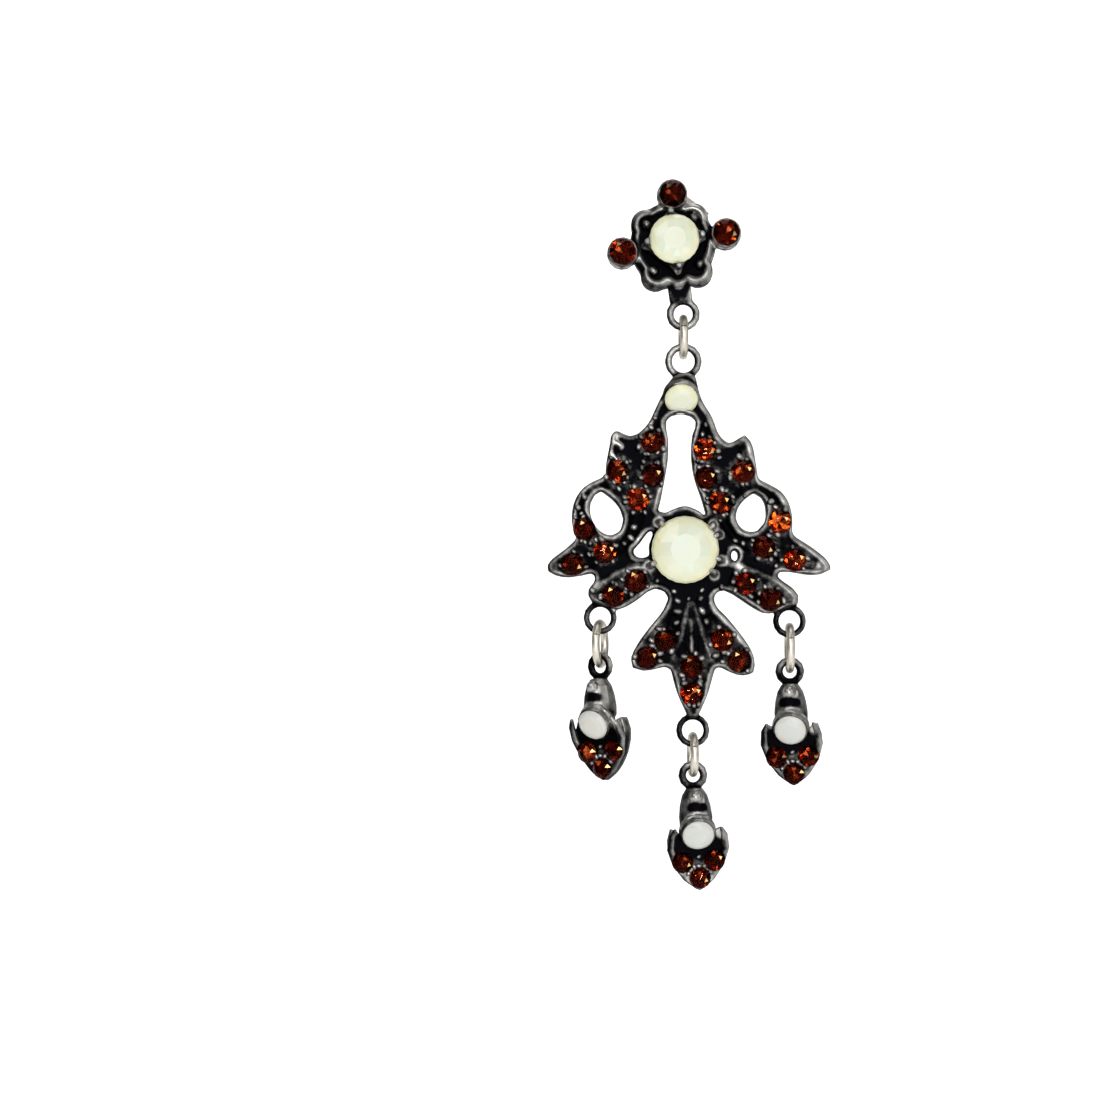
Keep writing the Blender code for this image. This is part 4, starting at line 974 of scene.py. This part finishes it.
class EARRING_OT_drops(bpy.types.Operator):
    """Pour the three bud drops"""

    bl_idname = "earring.drops"
    bl_label = "Bud Drops"

    def execute(self, context):
        for side in ("left", "right", "bottom"):
            prefix = "drop_" + side
            middle, axis, reach = stones_of("pendant", "opal", prefix)[0]
            across = axis.cross(Vector((0.0, 0.0, 1.0))).normalized()
            up = across.cross(axis)
            collar = []
            for step in range(COLLAR_POINTS):
                turn = 2 * pi * step / COLLAR_POINTS
                away = (across * cos(turn) + up * sin(turn)) * (reach + COLLAR_OUT)
                collar.append(middle - axis * COLLAR_BACK + away)
            extra = [wire(collar, [COLLAR_WIRE] * len(collar), True)]
            # Painted highlight along the collar's upper half
            spots = [(place, 0.3, 1.1) for place in collar if (place - middle).dot(up) > 0.5]
            facing = Vector((axis.x, axis.y, 0.0)).normalized()
            knob = middle - facing * KNOB_BACK + Vector((0.0, 0.0, KNOB_UP))
            barrel = middle - axis * 1.6 + Vector((0.0, 0.0, 1.9))
            spots += [(barrel + Vector((0.0, 0.0, rise)), 1.3, 0.95) for rise in (-0.5, 0.1)]
            spots.append((knob, 0.7, 1.3))
            below = knob + facing * 0.4 - Vector((0.0, 0.0, KNOB_GAP))
            shades = [(below + across * step, 0.42, 0.0) for step in (-0.9, -0.45, 0.0, 0.45, 0.9)]
            shades += [(place, 1.1, 0.45) for place in ring_ends()[2:]]
            # Painted highlight on the top of the right wing
            spots.append((middle - across * 2.6 + Vector((0.0, 0.6, 0.4)), 0.8, 0.9))
            between = []
            beside = []
            for (one, looking, _), (other, _, _) in combinations(stones_of("pendant", "amber", prefix), 2):
                between.append(one.lerp(other, 0.5))
                beside.append((other - one).cross(looking).normalized() * 0.45)
            spots += [(place, 0.3, 0.4) for place in between]
            casting = recast(
                prefix + "_casting", extra, cast_silver(), cell=0.085, rub=0.01, spots=spots, shades=shades)
            grains = []
            for place, aside in zip(between, beside):
                grains += [(grain.x, grain.z, 0.8) for grain in (place - aside, place + aside)]
            strew(prefix + "_grains", "pendant", grains, casting, cast_silver())
        return {"FINISHED"}


class EARRING_OT_rings(bpy.types.Operator):
    """Coil the jump rings, each with its fine saw cut"""

    bl_idname = "earring.rings"
    bl_label = "Jump Rings"

    def execute(self, context):
        for node, turn in RING_TURNS.items():
            low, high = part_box(node)
            middle = (low + high) / 2 / MM
            outer = (high.z - low.z) / 2 / MM
            work = bmesh.new()
            lay = Matrix.Translation((0.0, 0.0, outer - RING_WIRE)) @ Matrix.Rotation(pi / 2, 4, "X")
            bmesh.ops.create_circle(work, segments=16, radius=RING_WIRE, matrix=lay)
            bmesh.ops.rotate(
                work, cent=(0, 0, 0), matrix=Matrix.Rotation(SAW_PLACE, 3, "X"), verts=work.verts)
            bmesh.ops.spin(
                work, geom=work.verts[:] + work.edges[:], cent=(0, 0, 0), axis=(1, 0, 0),
                angle=2 * pi - SAW_CUT, steps=56)
            bmesh.ops.edgeloop_fill(work, edges=[edge for edge in work.edges if edge.is_boundary])
            bmesh.ops.recalc_face_normals(work, faces=work.faces)
            bmesh.ops.rotate(
                work, cent=(0, 0, 0), matrix=Matrix.Rotation(-radians(turn), 3, "Z"), verts=work.verts)
            bmesh.ops.translate(work, vec=middle, verts=work.verts)
            mesh = to_mesh(work, node + "_wire")
            mesh.set_sharp_from_angle(angle=radians(50))
            store(mesh, "rub_and_painted_light", [0.75] * len(mesh.vertices))
            place_piece(node + "_wire", mesh, body_of(node), "bright_silver", (node,), drawn_silver())
        return {"FINISHED"}


class EARRING_OT_stones(bpy.types.Operator):
    """Cut all the stones"""

    bl_idname = "earring.stones"
    bl_label = "Stones"

    def execute(self, context):
        stones = context.scene.earring_stones
        milky = milky_glass("milky glass", stones.milk, stones.milk_edge)
        pearly = milky_glass("pearly glass", stones.white, stones.white)
        amber, backing_and_glint = amber_glass(), backing_and_painted_glint()
        for number, node in enumerate(sorted(NODES)):
            if "opal" in node:
                glass = pearly if node.startswith("drop") else milky
                cut_stone(node, "opal_glass", MILKY_SIDES, MILKY_CUT, number, 0.0, glass)
            elif "amber" in node:
                cut_stone(node, "amber_glass", BRILLIANT_SIDES, BRILLIANT, number, SMALL_LEAN, amber, backing_and_glint)
        return {"FINISHED"}


class EARRING_OT_stage(bpy.types.Operator):
    """Lay the pale sweep, and set the lights and the camera"""

    bl_idname = "earring.stage"
    bl_label = "Stage"

    def execute(self, context):
        stage = context.scene.earring_stage
        material, tree, shader = new_material("white sweep")
        seen = add_node(tree, "LightPath")["Is Camera Ray"]
        shown = add_node(tree, "MapRange", {"Value": seen, "To Min": stage.ambient, "To Max": 1.0})
        set_inputs(tree, shader, {
            "Base Color": (0.93, 0.93, 0.93, 1.0), "Roughness": 0.9, "Emission Color": (1.0, 1.0, 1.0, 1.0),
            "Emission Strength": shown["Result"]})
        work = bmesh.new()
        rows = [(SWEEP_FRONT, 0.0), (SWEEP_BACK, 0.0)]
        for step in range(1, 13):
            turn = step * pi / 24
            rows.append((SWEEP_BACK + SWEEP_BEND * sin(turn), SWEEP_BEND - SWEEP_BEND * cos(turn)))
        rows.append((SWEEP_BACK + SWEEP_BEND, SWEEP_HEIGHT))
        line = [work.verts.new((-SWEEP_WIDTH / 2, y, z - stage.floor_depth)) for y, z in rows]
        edges = [work.edges.new(pair) for pair in zip(line, line[1:])]
        across = bmesh.ops.extrude_edge_only(work, edges=edges)["geom"]
        moved = [item for item in across if isinstance(item, bmesh.types.BMVert)]
        bmesh.ops.translate(work, vec=(SWEEP_WIDTH, 0.0, 0.0), verts=moved)
        bmesh.ops.recalc_face_normals(work, faces=work.faces)
        mesh = bpy.data.meshes.new("sweep")
        work.to_mesh(mesh)
        work.free()
        mesh.shade_smooth()
        mesh.materials.append(material)
        sweep = bpy.data.objects.new("sweep", mesh)
        context.scene.collection.objects.link(sweep)

        world = bpy.data.worlds.new("studio")
        world.use_nodes = True
        set_inputs(world.node_tree, world.node_tree.nodes["Background"], {
            "Color": (1.0, 1.0, 1.0, 1.0), "Strength": stage.ambient * 0.4})
        context.scene.world = world

        aim = Vector(AIM)
        for name, place, size, power in LAMPS:
            lamp = bpy.data.lights.new(name, "AREA")
            lamp.size = size
            lamp.energy = power * stage.lamps
            light = bpy.data.objects.new(name, lamp)
            light.location = place
            light.rotation_euler = (Vector(place) - aim).to_track_quat("Z", "Y").to_euler()
            context.scene.collection.objects.link(light)

        lens = bpy.data.cameras.new("camera")
        lens.lens = stage.lens
        lens.sensor_width = 36.0
        lens.clip_start = 0.01
        camera = bpy.data.objects.new("camera", lens)
        back = Vector((0.0, -cos(stage.elevation), sin(stage.elevation)))
        camera.location = aim + back * stage.distance
        camera.rotation_euler = back.to_track_quat("Z", "Y").to_euler()
        context.scene.collection.objects.link(camera)
        context.scene.camera = camera
        context.scene.view_settings.view_transform = "Standard"
        return {"FINISHED"}


class EARRING_PT_panel(bpy.types.Panel):
    """Buttons and settings of the earring"""

    bl_label = "Earring"
    bl_idname = "EARRING_PT_panel"
    bl_space_type = "VIEW_3D"
    bl_region_type = "UI"
    bl_category = "Earring"

    def draw(self, context):
        for settings in (
                context.scene.earring_metal, context.scene.earring_stones, context.scene.earring_stage):
            box = self.layout.box()
            for key in settings.__annotations__:
                box.prop(settings, key)
        for operator in OPERATORS:
            self.layout.operator(operator.bl_idname)


SETTINGS = {
    "earring_metal": EarringMetalSettings,
    "earring_stones": EarringStoneSettings,
    "earring_stage": EarringStageSettings,
}
OPERATORS = (
    EARRING_OT_stage,
    EARRING_OT_stud,
    EARRING_OT_fittings,
    EARRING_OT_pendant,
    EARRING_OT_drops,
    EARRING_OT_rings,
    EARRING_OT_stones,
)


def register():
    """Add the settings, the operators and the panel to Blender."""
    for name, settings in SETTINGS.items():
        bpy.utils.register_class(settings)
        setattr(bpy.types.Scene, name, PointerProperty(type=settings))
    for operator in OPERATORS:
        bpy.utils.register_class(operator)
    bpy.utils.register_class(EARRING_PT_panel)


def unregister():
    """Take them out again."""
    bpy.utils.unregister_class(EARRING_PT_panel)
    for operator in reversed(OPERATORS):
        bpy.utils.unregister_class(operator)
    for name, settings in SETTINGS.items():
        delattr(bpy.types.Scene, name)
        bpy.utils.unregister_class(settings)


def main():
    """Set the stage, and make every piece."""
    register()
    bpy.ops.earring.stage()
    bpy.ops.earring.stud()
    bpy.ops.earring.fittings()
    bpy.ops.earring.pendant()
    bpy.ops.earring.drops()
    bpy.ops.earring.rings()
    bpy.ops.earring.stones()


if __name__ == "__main__":
    main()
